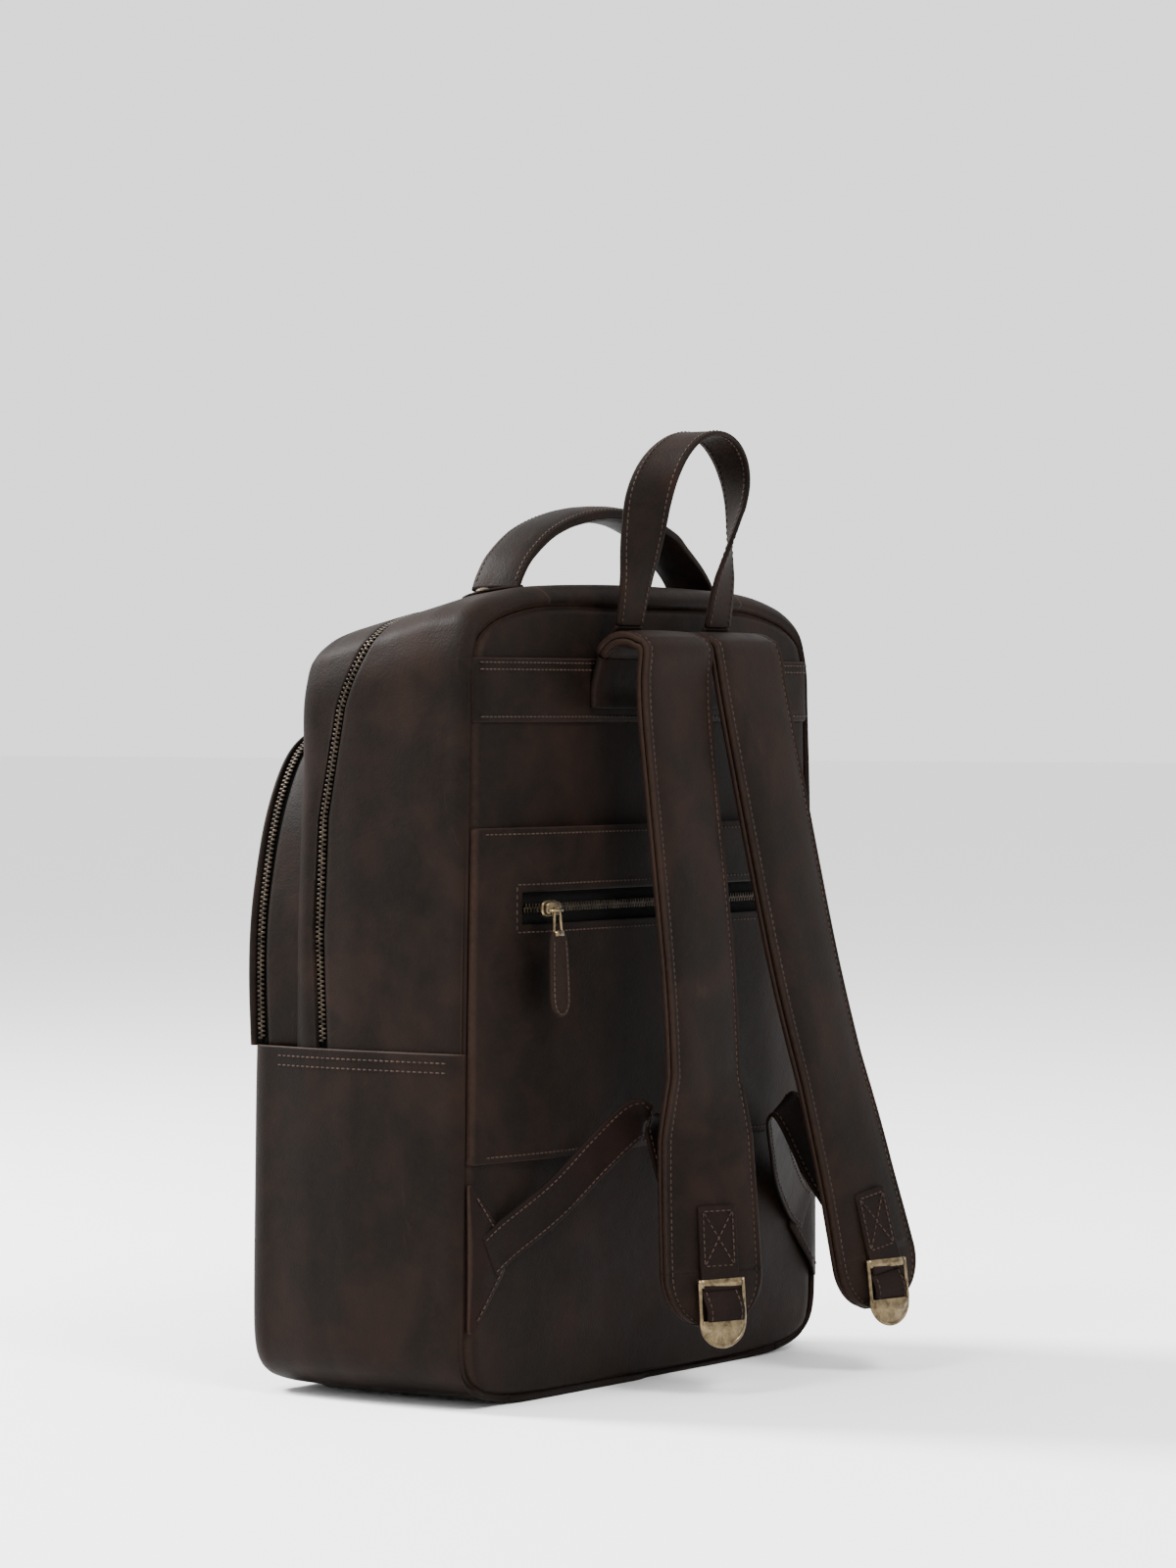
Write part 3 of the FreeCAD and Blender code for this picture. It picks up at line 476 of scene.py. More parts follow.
BOARD = fabric_material("fibre_board", (0.120, 0.095, 0.070), 180.0)


def sew(pile, name, body="bag"):
    """One piece of thread from the stitches in a pile."""
    finish_piece(pile.build(name, THREAD), body)


# ---------------------------------------------------------------- hull of the bag

AROUND = 261
BACK_ROLL = 62.0
FRONT_ROLL = -24.0
CROWN_Y = [-42, -40, -30, -22, 14, 42, 60, 67, 75]
CROWN_Z = [-39, -31, -23, -19, -11, -3.5, -0.7, 0, -1]
ZIP_Z = [150, 183, 247, 310, 367, 388, 403, 440]
ZIP_Y = [-17, -18, -22, -20, -9, 0, 7, 7]


def half_width(y, z):
    """The bag's half width: it leans in towards the top and swells a little at mid depth."""
    lean = SIDE + 6.2 - 0.0228 * z
    return lean + np.interp(y, [-75, -62, -45, -28, 0, 40, 75], [-9, -7, -4.5, -1.5, 1.2, 1.4, 0])


def both_sides(right):
    """A path from the right side to the left, from its right half listed up to the middle."""
    right = np.asarray(right, float)
    left = right[-2::-1] * [-1, 1]
    return np.vstack([right, left])


def upper_line(wide, top, low):
    """The outline above the seam band at one depth: (x, z) from the right seam over the top."""
    pts = [(wide(low), low), (wide(240), 240), (wide(310), 310), (wide(top - 60), top - 60),
           (wide(top - 40), top - 40), (wide(top) - 2.5, top - 26), (wide(top) - 7, top - 17.5),
           (wide(top) - 20, top - 10), (wide(top) - 38, top - 5), (wide(top) - 60, top - 1.6),
           (80, top - 0.3), (40, top), (0, top)]
    return both_sides(pts)


def lower_line(wide, high, lift=0.0):
    """The outline below the seam band at one depth: (x, z) from the right seam under the base."""
    pts = [(wide(high) + 1.6, high), (wide(160) + 1.4, 160), (wide(110) + 0.9, 110), (wide(60) + 0.4, 60),
           (wide(34), 34), (wide(20) - 2, 22), (wide(12) - 6.5, 14.5), (wide(8) - 15, 9),
           (wide(4) - 33, 3.6 + lift), (wide(0) - 62, 1.2 + lift), (60, 0.3 + lift), (0, 0.3 + lift)]
    return both_sides(pts)


def hull_table(line, depths):
    """The outlines at a row of depths."""
    return np.array([spline(line(y), AROUND) for y in depths])


def upper_at(y):
    """The outline above the seam band at a depth, under the crown of the top."""
    top = TOP + np.interp(y, CROWN_Y, CROWN_Z) + 1
    return upper_line(lambda z: half_width(y, z), top, SEAM - 8)


def lower_at(y):
    """The outline below the seam band at a depth."""
    return lower_line(lambda z: half_width(y, z), SEAM + 1)


UPPER_Y = np.linspace(FRONT_ROLL, BACK_ROLL, 40)
UPPER = hull_table(upper_at, UPPER_Y)
LOWER_Y = np.linspace(-56, BACK_ROLL, 40)
LOWER = hull_table(lower_at, LOWER_Y)


def hull(table, depths, y):
    """Points of the hull at a depth y for each place around it."""
    y = np.broadcast_to(y, (AROUND,))
    row = np.clip(np.interp(y, depths, np.arange(len(depths))), 0, len(depths) - 1.001)
    low = row.astype(int)
    share = (row - low)[:, None]
    here = np.arange(AROUND)
    xz = table[low, here] * (1 - share) + table[low + 1, here] * share
    return np.stack([xz[:, 0], y, xz[:, 1]], 1)


def rolled(first, last_xz, last_y, steps, dip=0.0):
    """Rings that turn from a ring's direction into a smaller outline on another plane."""
    rings = []
    for b in np.linspace(0, 1, steps + 1)[1:]:
        turn = b * math.pi / 2
        xz = first[:, [0, 2]] + (last_xz - first[:, [0, 2]]) * (1 - math.cos(turn))
        y = first[:, 1] + (last_y - first[:, 1]) * math.sin(turn) - dip * smoothstep(b, 0.75, 1.0)
        rings.append(np.stack([xz[:, 0], y, xz[:, 1]], 1))
    return rings


def uneven(p, amount, size=150.0, seed=0.0):
    """The rings with the soft dents of a filled leather bag."""
    return p + grid_normals(p) * (dents(p, size, seed) * amount)[..., None]


GROOVE_UPPER = spline(upper_line(lambda z: half_width(75, z) - 3.0, TOP - 11, SEAM - 8), AROUND)
GROOVE_LOWER = spline(lower_line(lambda z: half_width(75, z) - 3.6, SEAM + 1, 1.2), AROUND)
ZIP_AT = np.interp(hull(UPPER, UPPER_Y, 0.0)[:, 2], ZIP_Z, ZIP_Y)


def back_rings(table, depths, first_y, groove):
    """Rings from a place on the hull to its back edge, which rolls down into the groove."""
    rings = [hull(table, depths, first_y + (BACK_ROLL - first_y) * t) for t in np.linspace(0, 1, 22)]
    return rings + rolled(rings[-1], groove, BACK - 0.4, 9, 3.0)


EDGE_REACH = 1.0
EDGE_DROP = 2.0


def turned_edge(rings):
    """Adds the fold of leather that turns down into a zip's recess before the first ring."""
    grid = np.array(rings)
    n = grid_normals(grid)[0]
    if (n * (grid[0] - grid.reshape(-1, 3).mean(0))).sum() < 0:
        n = -n
    step = unit(grid[1] - grid[0])
    tucked = rings[0] - n * EDGE_DROP + step * 0.4
    rounded = rings[0] - n * 0.7 - step * 0.1
    return [tucked, rounded, rings[0] + step * EDGE_REACH] + rings[1:]


def fan(outline, middle, count):
    """Shares from an outline towards a middle, and the shrunken outline at each."""
    for k in np.linspace(0, 1, count)[1:]:
        yield k, middle + (outline - middle) * (1 - 0.97 * k)


def outward_sign(p, centre):
    """1 where a grid's normals point away from a centre, else -1."""
    n = grid_normals(p)
    return 1 if (n * (p - np.array(centre))).sum() > 0 else -1


PANELS = {}


def panel(name, p, body, replaced, thick=LEATHER, centre=INSIDE, material=None, wear=0.8):
    """A leather panel of a hull grid, kept in PANELS for the stitches that lie on it."""
    sign = outward_sign(p, centre)
    obj = shell(name, p, thick, material or HIDE, outward=sign, edge_wear=wear)
    PANELS[name] = (p, grid_normals(p) * sign)
    return finish_piece(obj, body, replaced)


def edge_samples(p, width=1.2):
    """The grid with an extra column just inside each end, so that its edges stay crisp."""
    first = p[:, :1] + unit(p[:, 1:2] - p[:, :1]) * width
    last = p[:, -1:] + unit(p[:, -2:-1] - p[:, -1:]) * width
    return np.concatenate([p[:, :1], first, p[:, 1:-1], last, p[:, -1:]], 1)


def split(grid, right, left, names):
    """Three panels of the bag from one grid that goes round it, cut at two of its columns."""
    for name, part in zip(names, (grid[:, :right + 1], grid[:, right:left + 1], grid[:, left:])):
        panel(name, edge_samples(part), "bag", [name])


def upper_panels():
    """Rear gussets and top on the bag; the lid with its rounded front on its own body."""
    rear = turned_edge(back_rings(UPPER, UPPER_Y, ZIP_AT + 3.0, GROOVE_UPPER))
    rear = uneven(np.array(rear), 1.1, 170.0, 0.4)
    x = rear[12, :, 0]
    right = np.argmax(x < 97)
    left = np.argmax(x < -97)
    split(rear, right, left, ("gusset_right", "gusset_top", "gusset_left"))
    shoulder = np.minimum(FRONT_ROLL, ZIP_AT - 9.0)
    start = [hull(UPPER, UPPER_Y, (ZIP_AT - 3.0) * (1 - t) + shoulder * t) for t in np.linspace(0, 1, 9)]
    edge = spline(upper_line(lambda z: half_width(-40, z) - 9, TOP - 34, SEAM - 8), AROUND)
    rings = start + rolled(start[-1], edge, -41.0, 8)
    middle = np.array([0, SEAM - 8])
    for k, xz in fan(edge, middle, 20):
        face = np.interp(xz[:, 1], [180, 300, 346, 377, 393], [-42, -47, -49, -46, -41.5])
        y = -41 + (face + 41) * smoothstep(k, 0, 0.25)
        rings.append(np.stack([xz[:, 0], y, xz[:, 1]], 1))
    lid = uneven(np.array(turned_edge(rings)), 0.9, 150.0, 1.9)
    panel("lid_shell", lid, "lid", ["lid_shell"])
    sign = outward_sign(lid, INSIDE)
    inner = (lid - grid_normals(lid) * sign * 3.0)[4:, 2:-2]
    cloth = shell("lid_lining", inner, 0.8, LINING, outward=sign, edge_wear=0)
    finish_piece(cloth, "lid", ["lid_lining"])


def split_lower():
    """The side, base and front panels below the seam band."""
    rings = back_rings(LOWER, LOWER_Y, -56.0, GROOVE_LOWER)[::-1]
    edge = spline(lower_line(lambda z: half_width(-62, z) - 11, SEAM + 1, 8.0), AROUND)
    rings += rolled(rings[-1], edge, FRONT - 1.0, 9)
    front_start = len(rings) - 1
    middle = np.array([0, SEAM + 1])
    for k, xz in fan(edge, middle, 18):
        y = np.full(AROUND, FRONT - 1.0) - 1.4 * smoothstep(k, 0, 0.5)
        rings.append(np.stack([xz[:, 0], y, xz[:, 1]], 1))
    grid = uneven(np.array(rings), 1.2, 160.0, 2.7)
    grid[:, :, 2] = np.maximum(grid[:, :, 2], 0.3)
    column_x = grid[20, :, 0]
    right, left = np.argmax(column_x < 135), np.argmax(column_x < -135)
    body = grid[:front_start + 1]
    split(body, right, left, ("lower_side_right", "base_panel", "lower_side_left"))
    panel("lower_front_panel", grid[front_start:], "bag", ["lower_front_panel"])


# ---------------------------------------------------------------- main zip and front pocket


def hull_normals(path):
    """Outward normals of a path round the hull, in the plane of the outline."""
    step = np.gradient(path, axis=0)
    n = np.stack([step[:, 2], np.zeros(len(path)), -step[:, 0]], 1)
    n = unit(n)
    return n if (n * (path - path.mean(0))).sum() > 0 else -n


def zip_path(offset, lift):
    """The main zip's line, moved towards the back by an offset and off the hull by a lift."""
    path = hull(UPPER, UPPER_Y, ZIP_AT + offset)
    return path + hull_normals(path) * lift


def tape_band(name, grid, body, centre=INSIDE):
    """Half a zip's tape, from a grid of points."""
    obj = shell(name, grid, 0.7, TAPE, outward=outward_sign(grid, centre), edge_wear=0)
    finish_piece(obj, body, [name])


def zip_teeth(name, path, body):
    """Metal teeth along the part of a zip's line that is above the seam."""
    path = path[path[:, 2] > SEAM + 1]
    teeth = Pile()
    teeth_row(teeth, path, hull_normals(path))
    finish_piece(teeth.build(name, TEETH), body)


def main_zip():
    """Both halves of the main zip's tape, and its teeth between them."""
    for name, body, side in (("main_zip_rear", "bag", 1), ("main_zip_front", "lid", -1)):
        first, last = zip_path(side * 0.3, -2.2), zip_path(side * 6.0, -2.6)
        tape_band(name, np.array([first * (1 - t) + last * t for t in (0, 0.5, 1)]), body)
    zip_teeth("main_zip_teeth", zip_path(0.0, -0.9), "bag")


def pocket_line(grow=0.0):
    """The front pocket's arch, grown outward."""
    pts = [(165.5, SEAM + 0.4), (166.5, 220), (165.5, 248), (162, 272), (154, 304), (142, 330), (128, 346),
           (108, 355), (80, 359.5), (40, 361), (0, 361.5)]
    line = spline(both_sides(pts), 201)
    path = np.stack([line[:, 0], np.zeros(len(line)), line[:, 1]], 1)
    return path + hull_normals(path) * grow


def pocket_ring(y, grow):
    """The front pocket's arch at a depth."""
    ring = pocket_line(grow)
    ring[:, 1] = y
    return ring


def front_pocket():
    """Gusset, zip and front panel of the arched pocket."""
    gusset = [pocket_ring(y, g) for y, g in
              ((-30, 2.2), (-36, 2.0), (-44, 1.4), (-52, 1.0), (-57, 0.7), (-59.2, 0.4), (-60.0, -0.6),
               (-60.0, -2.4))]
    panel("pocket_gusset", uneven(np.array(gusset), 0.7, 120.0, 0.8), "lid", ["pocket_gusset"],
          centre=(0, -45, 220))
    for name, body, first, last in (("pocket_zip_rear", "lid", -59.4, -64.2),
                                    ("pocket_zip_front", "pocket_flap", -64.8, -69.5)):
        depths = (first, (first + last) / 2, last)
        tape_band(name, np.array([pocket_ring(y, -2.2) for y in depths]), body, (0, -60, 220))
    zip_teeth("pocket_zip_teeth", pocket_ring(-64.5, -0.9), "lid")
    rings = [pocket_ring(y, g) for y, g in
             ((-68.6, -3.0), (-68.8, -0.9), (-69.6, -0.1), (-70.8, 0.0), (-72.0, -0.8), (-72.6, -2.4),
              (-72.8, -5.0))]
    outline = rings[-1]
    middle = np.array([0, -73.0, SEAM + 0.4])
    for k, ring in fan(outline, middle, 18):
        ring[:, 1] = -72.8 - 1.6 * smoothstep(k, 0, 0.4)
        rings.append(ring)
    grid = uneven(np.array(rings), 0.6, 140.0, 4.2)
    panel("pocket_front_panel", grid, "pocket_flap", ["pocket_front_panel"], centre=(0, -40, 230))


# ---------------------------------------------------------------- back panel, yoke and sleeve


def outline_distance(points, outline):
    """Distance of (x, z) points from an outline."""
    a, b = outline[:-1], outline[1:]
    best = np.full(len(points), 1e9)
    for start, end in zip(a, b):
        run = end - start
        t = np.clip(((points - start) @ run) / max(run @ run, 1e-9), 0, 1)
        best = np.minimum(best, np.linalg.norm(points - start - t[:, None] * run, axis=1))
    return best


def back_height(distance):
    """The back's depth at a distance from its outline: it rolls down into the groove and swells inside."""
    roll = 3.6 * (1 - smoothstep(distance, 0, 4.5)) ** 1.5
    return BACK - 0.2 - roll + 1.4 * smoothstep(distance, 0, 60)


def back_y(x, z):
    """The back panel's surface, as what lies on it finds it."""
    return back_height(half_width(75, z) - 3.6 - np.abs(x))


def back_surface():
    """The leather back: flat over its foam, rolled down into the groove all round."""
    inset = 0.6
    up = GROOVE_UPPER[:AROUND // 2 + 1]
    down = GROOVE_LOWER[:AROUND // 2 + 1][::-1]
    right = np.vstack([down[down[:, 1] < SEAM], up[up[:, 1] >= SEAM]]) - [inset, 0]
    right = resample(right, 150)
    rows = [np.stack([np.linspace(-x, x, 61), np.full(61, z)], 1) for x, z in right if x > 0.5]
    flat = np.array(rows)
    outline = np.vstack([right, right[::-1] * [-1, 1]])
    distance = outline_distance(flat.reshape(-1, 2), outline).reshape(flat.shape[:2])
    grid = np.stack([flat[..., 0], back_height(distance), flat[..., 1]], -1)
    grid[..., 1] += dents(grid, 130.0, 5.0) * 0.7 * smoothstep(distance, 2, 20)
    panel("back_panel_leather", grid, "bag", ["back_panel_leather"], 1.8, BEHIND_BACK)


def plate_grid(x0, x1, z0, z1, y_of, roll=1.0, step=6.0):
    """A flat piece of leather lying on a surface y_of(x, z), its edges turned under."""
    xs = x0 + (x1 - x0) * shares(x1 - x0, step, roll)
    zs = z0 + (z1 - z0) * shares(z1 - z0, step, roll)
    gx, gz = np.meshgrid(xs, zs)
    grid = np.stack([gx, y_of(gx, gz), gz], -1)
    grid[[0, -1], :, 1] -= roll * 0.8
    grid[:, [0, -1], 1] -= roll * 0.8
    return grid


def yoke():
    """The strip over the straps' roots, with two rows of stitches above and one below."""
    low, high = cad("yoke_strip")
    wide = float(half_width(75, 375)) - 3.2

    def surface(x, z):
        """The depth of the strip's outer face."""
        return back_y(x, z) + 2.0 + dents(np.stack([x, x * 0, z], -1), 90.0, 3.0) * 0.3

    grid = plate_grid(-wide, wide, low[2], high[2], surface)
    panel("yoke_strip", grid, "bag", ["yoke_strip"], 1.6, (0, 0, 375))
    pile = Pile()
    for z in (high[2] - 2.6, high[2] - 6.2, low[2] + 3.0):
        xs = np.linspace(-wide + 3, wide - 3, 120)
        stitch_row(pile, np.stack([xs, surface(xs, xs * 0 + z), xs * 0 + z], 1), (0, 1, 0))
    sew(pile, "yoke_stitches")


SLOT_LOW, SLOT_HIGH = cad("back_zip_tape")
SLEEVE_LOW, SLEEVE_HIGH = cad("sleeve_panel")


def sleeve_y(x, z):
    """The trolley sleeve stands off the back in the middle and is sewn down at both sides."""
    rise = smoothstep(half_width(75, z) - 4.4 - np.abs(x), 0, 70)
    height = back_y(x, z) + 2.0 + 5.5 * rise
    return height + dents(np.stack([x, x * 0, z], -1), 100.0, 6.0) * 0.8 * rise


def sleeve():
    """The sleeve's four sheets of leather round its zip slot, and the backing behind them."""
    x0, x1 = SLOT_LOW[0], SLOT_HIGH[0]
    z0, z1 = SLOT_LOW[2], SLOT_HIGH[2]
    low, high = SLEEVE_LOW[2], SLEEVE_HIGH[2]
    count = 95
    reach = 165.0

    def edge(z):
        """Half the width of the sleeve at a height."""
        return half_width(75, z) - 3.2

    xs = np.unique(np.concatenate([np.linspace(-1, 1, count) * 0.999, np.array([x0, x1]) / reach]))
    zs = np.unique(np.concatenate([[low, low + 1], np.linspace(low + 5, z0 - 1, 22), [z0, z1],
                                   np.linspace(z1 + 1, high - 5, 8), [high - 1, high]]))
    gz = np.repeat(zs[:, None], len(xs), 1)
    flat = xs * reach
    gx = flat[None, :] * (1 + (edge(gz) / reach - 1) * smoothstep(np.abs(flat), x1 + 4, reach)[None, :])
    grid = np.stack([gx, sleeve_y(gx, gz), gz], -1)
    grid[[0, -1], :, 1] -= 0.9
    verts, faces, wear = shell_data(grid, 1.8, outward=outward_sign(grid, BEHIND_BACK))
    in_x = (flat > x0 - 0.01) & (flat < x1 + 0.01)
    in_z = (zs > z0 - 0.01) & (zs < z1 + 0.01)
    hole = np.outer(in_z, in_x).ravel()
    hole = np.concatenate([hole, hole])
    kept = [f for f in faces if not hole[f].all()]
    obj = add_mesh("sleeve_panel", verts, kept, HIDE, wear)
    close_rims(obj)
    finish_piece(obj, "bag", ["sleeve_panel"])
    back = plate_grid(-146, 146, low + 3, high - 3, lambda x, z: back_y(x, z) + 1.4, 0.3, 20.0)
    cloth = shell("sleeve_backing", back, 0.8, LINING, outward=outward_sign(back, BEHIND_BACK), edge_wear=0)
    finish_piece(cloth, "bag", ["sleeve_backing"])
    pile = Pile()
    rows = [((x0 - 4, z1 + 4), (x1 + 4, z1 + 4)), ((x0 - 4, z0 - 4), (x1 + 4, z0 - 4)),
            ((x0 - 4, z0 - 4), (x0 - 4, z1 + 4)), ((x1 + 4, z0 - 4), (x1 + 4, z1 + 4)),
            ((-160, high - 3.4), (160, high - 3.4)), ((-160, low + 3.4), (160, low + 3.4))]
    for (xa, za), (xb, zb) in rows:
        x = np.linspace(xa, xb, 90)
        z = np.linspace(za, zb, 90)
        stitch_row(pile, np.stack([x, sleeve_y(x, z), z], 1), (0, 1, 0))
    sew(pile, "sleeve_stitches")


def close_rims(obj):
    """Walls the open rims of a slot, from the outer skin to the inner one."""
    mesh = bmesh.new()
    mesh.from_mesh(obj.data)
    rim = [e for e in mesh.edges if e.is_boundary]
    bmesh.ops.bridge_loops(mesh, edges=rim)
    bmesh.ops.recalc_face_normals(mesh, faces=mesh.faces)
    mesh.to_mesh(obj.data)
    mesh.free()


def back_zip():
    """Tape and teeth of the pocket zip in the sleeve."""
    z = (SLOT_LOW[2] + SLOT_HIGH[2]) / 2
    x0, x1 = SLOT_LOW[0] - 2, SLOT_HIGH[0] + 2

    def surface(x, zz):
        """The depth of the tape, under the sleeve's leather."""
        return sleeve_y(x, zz) - 2.6

    grid = plate_grid(x0, x1, SLOT_LOW[2] - 2, SLOT_HIGH[2] + 2, surface, 0.3, 6.0)
    tape_band("back_zip_tape", grid, "bag", BEHIND_BACK)
    xs = np.linspace(SLOT_LOW[0] + 2, SLOT_HIGH[0] - 2, 120)
    path = np.stack([xs, surface(xs, xs * 0 + z) + 1.2, xs * 0 + z], 1)
    teeth = Pile()
    teeth_row(teeth, path, (0, 1, 0))
    finish_piece(teeth.build("back_zip_chain", TEETH), "bag", ["back_zip_chain"])


# ---------------------------------------------------------------- belts and padded straps


def frames(points, across, count):
    """A smooth path with a unit width direction and outward normal at each sample."""
    path = spline(points, count)
    run = np.linspace(0, 1, len(points))
    at = np.linspace(0, 1, count)
    side = np.stack([np.interp(at, run, np.asarray(across)[:, k]) for k in range(3)], 1)
    along = unit(np.gradient(path, axis=0))
    side = unit(side - along * (side * along).sum(1, keepdims=True))
    return path, side, along


def belt(path, side, normal, profile):
    """Rings of a belt: profile gives (share across, lift) of its closed section, in millimetres."""
    u = np.array([p[0] for p in profile])
    h = np.array([p[1] for p in profile])
    return path[:, None] + side[:, None] * u[None, :, None] + normal[:, None] * h[None, :, None]


def flat_section(width, thick, round_by=0.7, count=8):
    """A flat leather section with rounded edges."""
    half_w, half_t = width / 2, thick / 2
    us = np.linspace(-half_w + round_by, half_w - round_by, count)
    upper = [(u, half_t) for u in us]
    right = [(half_w - round_by * 0.3, half_t * 0.7), (half_w, 0), (half_w - round_by * 0.3, -half_t * 0.7)]
    lower = [(-u, -h) for u, h in upper]
    left = [(-u, -h) for u, h in right]
    return upper + right + lower + left


def closed_belt(name, rings, material, body, replaced=(), round_ends=True):
    """A closed piece from rings, its first and last ones drawn in a little so that the ends are soft."""
    rings = np.asarray(rings)
    if round_ends:
        first = rings[0].mean(0) + (rings[0] - rings[0].mean(0)) * 0.96
        last = rings[-1].mean(0) + (rings[-1] - rings[-1].mean(0)) * 0.96
        step_a = unit(rings[0] - rings[1]).mean(0) * 0.5
        step_b = unit(rings[-1] - rings[-2]).mean(0) * 0.5
        rings = np.concatenate([[first + step_a], rings, [last + step_b]])
    return finish_piece(add_mesh(name, *loft_data(rings), material), body, replaced)


# Each row is a place on a strap: sideways, depth and height, and its twist in degrees.
STRAP_PATHS = {
    "right": [(33, 113, 359, 14), (38, 131, 222, 17), (41, 138, 120, 19), (44, 144, 38, 20)],
    "left": [(37, 121, 359, -3), (60, 138, 222, -5), (80, 155, 120, -9), (92, 169, 38, -13)],
}
CURL_Y = 100.0
CURL_Z = 386.0
CURL_RADIUS = 17.0
CURL_START = 150
CURL_END = 24
CURL_STEP = 14
STRAP_HALF = 32.5
STRAP_CORNER = 27.0
STRAP_EDGE_WEAR = 0.45


def strap_frames(side_name):
    """The strap's middle line, from its curl over the yoke down to its free end."""
    sign = SIDES[side_name]
    rows = STRAP_PATHS[side_name]
    points, across = [], []
    for angle in np.arange(CURL_START, CURL_END, -CURL_STEP):
        turn = math.radians(angle)
        points.append((sign * rows[0][0], CURL_Y + CURL_RADIUS * math.cos(turn),
                       CURL_Z + CURL_RADIUS * math.sin(turn)))
        across.append((1, 0, 0))
    for x, y, z, twist in rows:
        turn = math.radians(sign * twist)
        points.append((sign * x, y, z))
        across.append((math.cos(turn), -math.sin(turn), 0))
    path, side, along = frames(points, across, 150)
    normal = np.cross(side, along)
    if normal[-1][1] < 0:
        normal = -normal
    return path, side, unit(normal)


def strap_section(sign, half_w, crown):
    """One face of a strap: crowned, sunk along its stitch line, with a rolled edge."""
    us = [0, 8, 15, 21, 25, 27.2, 28.4, 29.6, 31.0, 32.0, 32.5, 32.2]
    hs = [4.3 + crown, 4.3 + crown * 0.97, 4.2 + crown * 0.85, 4.1 + crown * 0.5, 3.9 + crown * 0.2, 3.6,
          3.2, 3.7, 3.9, 3.2, 1.8, 0.25]
    scale = half_w / STRAP_HALF
    right = [(u * scale, sign * h) for u, h in zip(us, hs)]
    left = [(-u, h) for u, h in right[:0:-1]]
    return left + right


def end_taper(path, half_w, corner):
    """How wide the strap is at each station: its free end is rounded off."""
    run = np.concatenate([[0], np.cumsum(np.linalg.norm(np.diff(path, axis=0), axis=1))])
    left = run[-1] - run
    inside = np.clip(corner - left, 0, corner)
    return (half_w - corner + np.sqrt(np.maximum(corner ** 2 - inside ** 2, 0))) / half_w


def ride_strap(obj):
    """Bakes a strap piece's transform into its mesh."""
    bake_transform(obj)


def strap_layer(layer, sign, side_name, path, side, normal, wide):
    """The leather face or the backing of a strap."""
    lean = dents(path, 140.0, SIDES[side_name])
    crown = 1.5 * smoothstep(np.linspace(0, 1, len(path)), 0.05, 0.3) * (1 if sign > 0 else 0.5)
    rings = []
    for k in range(len(path)):
        section = strap_section(sign, STRAP_HALF * max(wide[k], 0.12), crown[k])
        lift = lean[k] * np.cos(np.array([u for u, h in section]) / 14.0 + k * 0.05) * 0.35
        rings.append([path[k] + side[k] * u + normal[k] * (h + d) for (u, h), d in zip(section, lift)])
    rings = np.array(rings)
    wear = np.zeros(rings.shape[:2])
    wear[:, [0, 1, 2, -3, -2, -1]] = STRAP_EDGE_WEAR
    sheet_sign = 1 if (grid_normals(rings)[60, 12] * normal[60]).sum() * sign > 0 else -1
    verts, faces, edge = shell_data(rings, 1.1, outward=sheet_sign, edge_wear=0.6)
    name = "strap_%s_%s" % (layer, side_name)
    obj = add_mesh(name, verts, faces, HIDE, np.maximum(edge, np.concatenate([wear.ravel(), wear.ravel()])))
    ride_strap(obj)
    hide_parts(name)


def strap_core(side_name, path, side, normal, wide):
    """The foam between a strap's face and its backing."""
    core = [(u * 0.86, h * 0.55) for u, h in strap_section(1, STRAP_HALF, 0)[2:-2]]
    core += [(-u, -h) for u, h in core]
    across, lift = np.array(core).T
    rings = []
    for k in range(4, len(path) - 3):
        sideways = side[k][None] * (across * max(wide[k], 0.12))[:, None]
        rings.append(path[k] + sideways + normal[k][None] * lift[:, None])
    foam = add_mesh("strap_foam_" + side_name, *loft_data(rings), FOAM)
    ride_strap(foam)
    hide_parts("strap_foam_" + side_name)


def strap_threads(side_name, path, side, normal, wide):
    """The stitches down both edges of a strap and across its free end."""
    stitch_line = 28.4
    pile = Pile()
    keep = wide > 0.3
    for edge in (-1, 1):
        offset = side * (edge * stitch_line * wide)[:, None] + normal * 3.15
        stitch_row(pile, (path + offset)[keep], normal[keep])
    end_side, end_wide, end_normal = side[keep][-1], wide[keep][-1], normal[keep][-1]
    sideways = np.array([end_side * u for u in np.linspace(-1, 1, 30) * stitch_line * end_wide])
    stitch_row(pile, path[keep][-1] + sideways + end_normal * 3.2, end_normal)
    ride_strap(pile.build("strap_stitches_" + side_name, THREAD))


def strap_root(side_name):
    """The end of a strap that is sewn down on the yoke."""
    x = SIDES[side_name] * STRAP_PATHS[side_name][0][0]
    root = [(x, y, z) for y, z in ((79.8, 366), (80.0, 376), (83.4, 388.5), (84.6, 392.4))]
    path, side, along = frames(root, [(1, 0, 0)] * 4, 20)
    rings = belt(path, side, np.cross(side, along), flat_section(62.0, 4.6, 1.5, 12))
    name = "strap_root_" + side_name
    closed_belt(name, rings, HIDE, "bag", [name])


def strap(side_name):
    """One shoulder strap; returns its middle line, width directions and normals for what it carries."""
    path, side, normal = strap_frames(side_name)
    at = np.concatenate([np.linspace(0, 0.93, 110), 1 - np.linspace(0.07, 0, 26)])
    side = unit(resample_values(path, side, at))
    normal = unit(resample_values(path, normal, at))
    path = resample(path, at)
    wide = end_taper(path, STRAP_HALF, STRAP_CORNER)
    for layer, sign in (("face", 1), ("backing", -1)):
        strap_layer(layer, sign, side_name, path, side, normal, wide)
    strap_core(side_name, path, side, normal, wide)
    strap_threads(side_name, path, side, normal, wide)
    strap_root(side_name)
    return path, side, normal


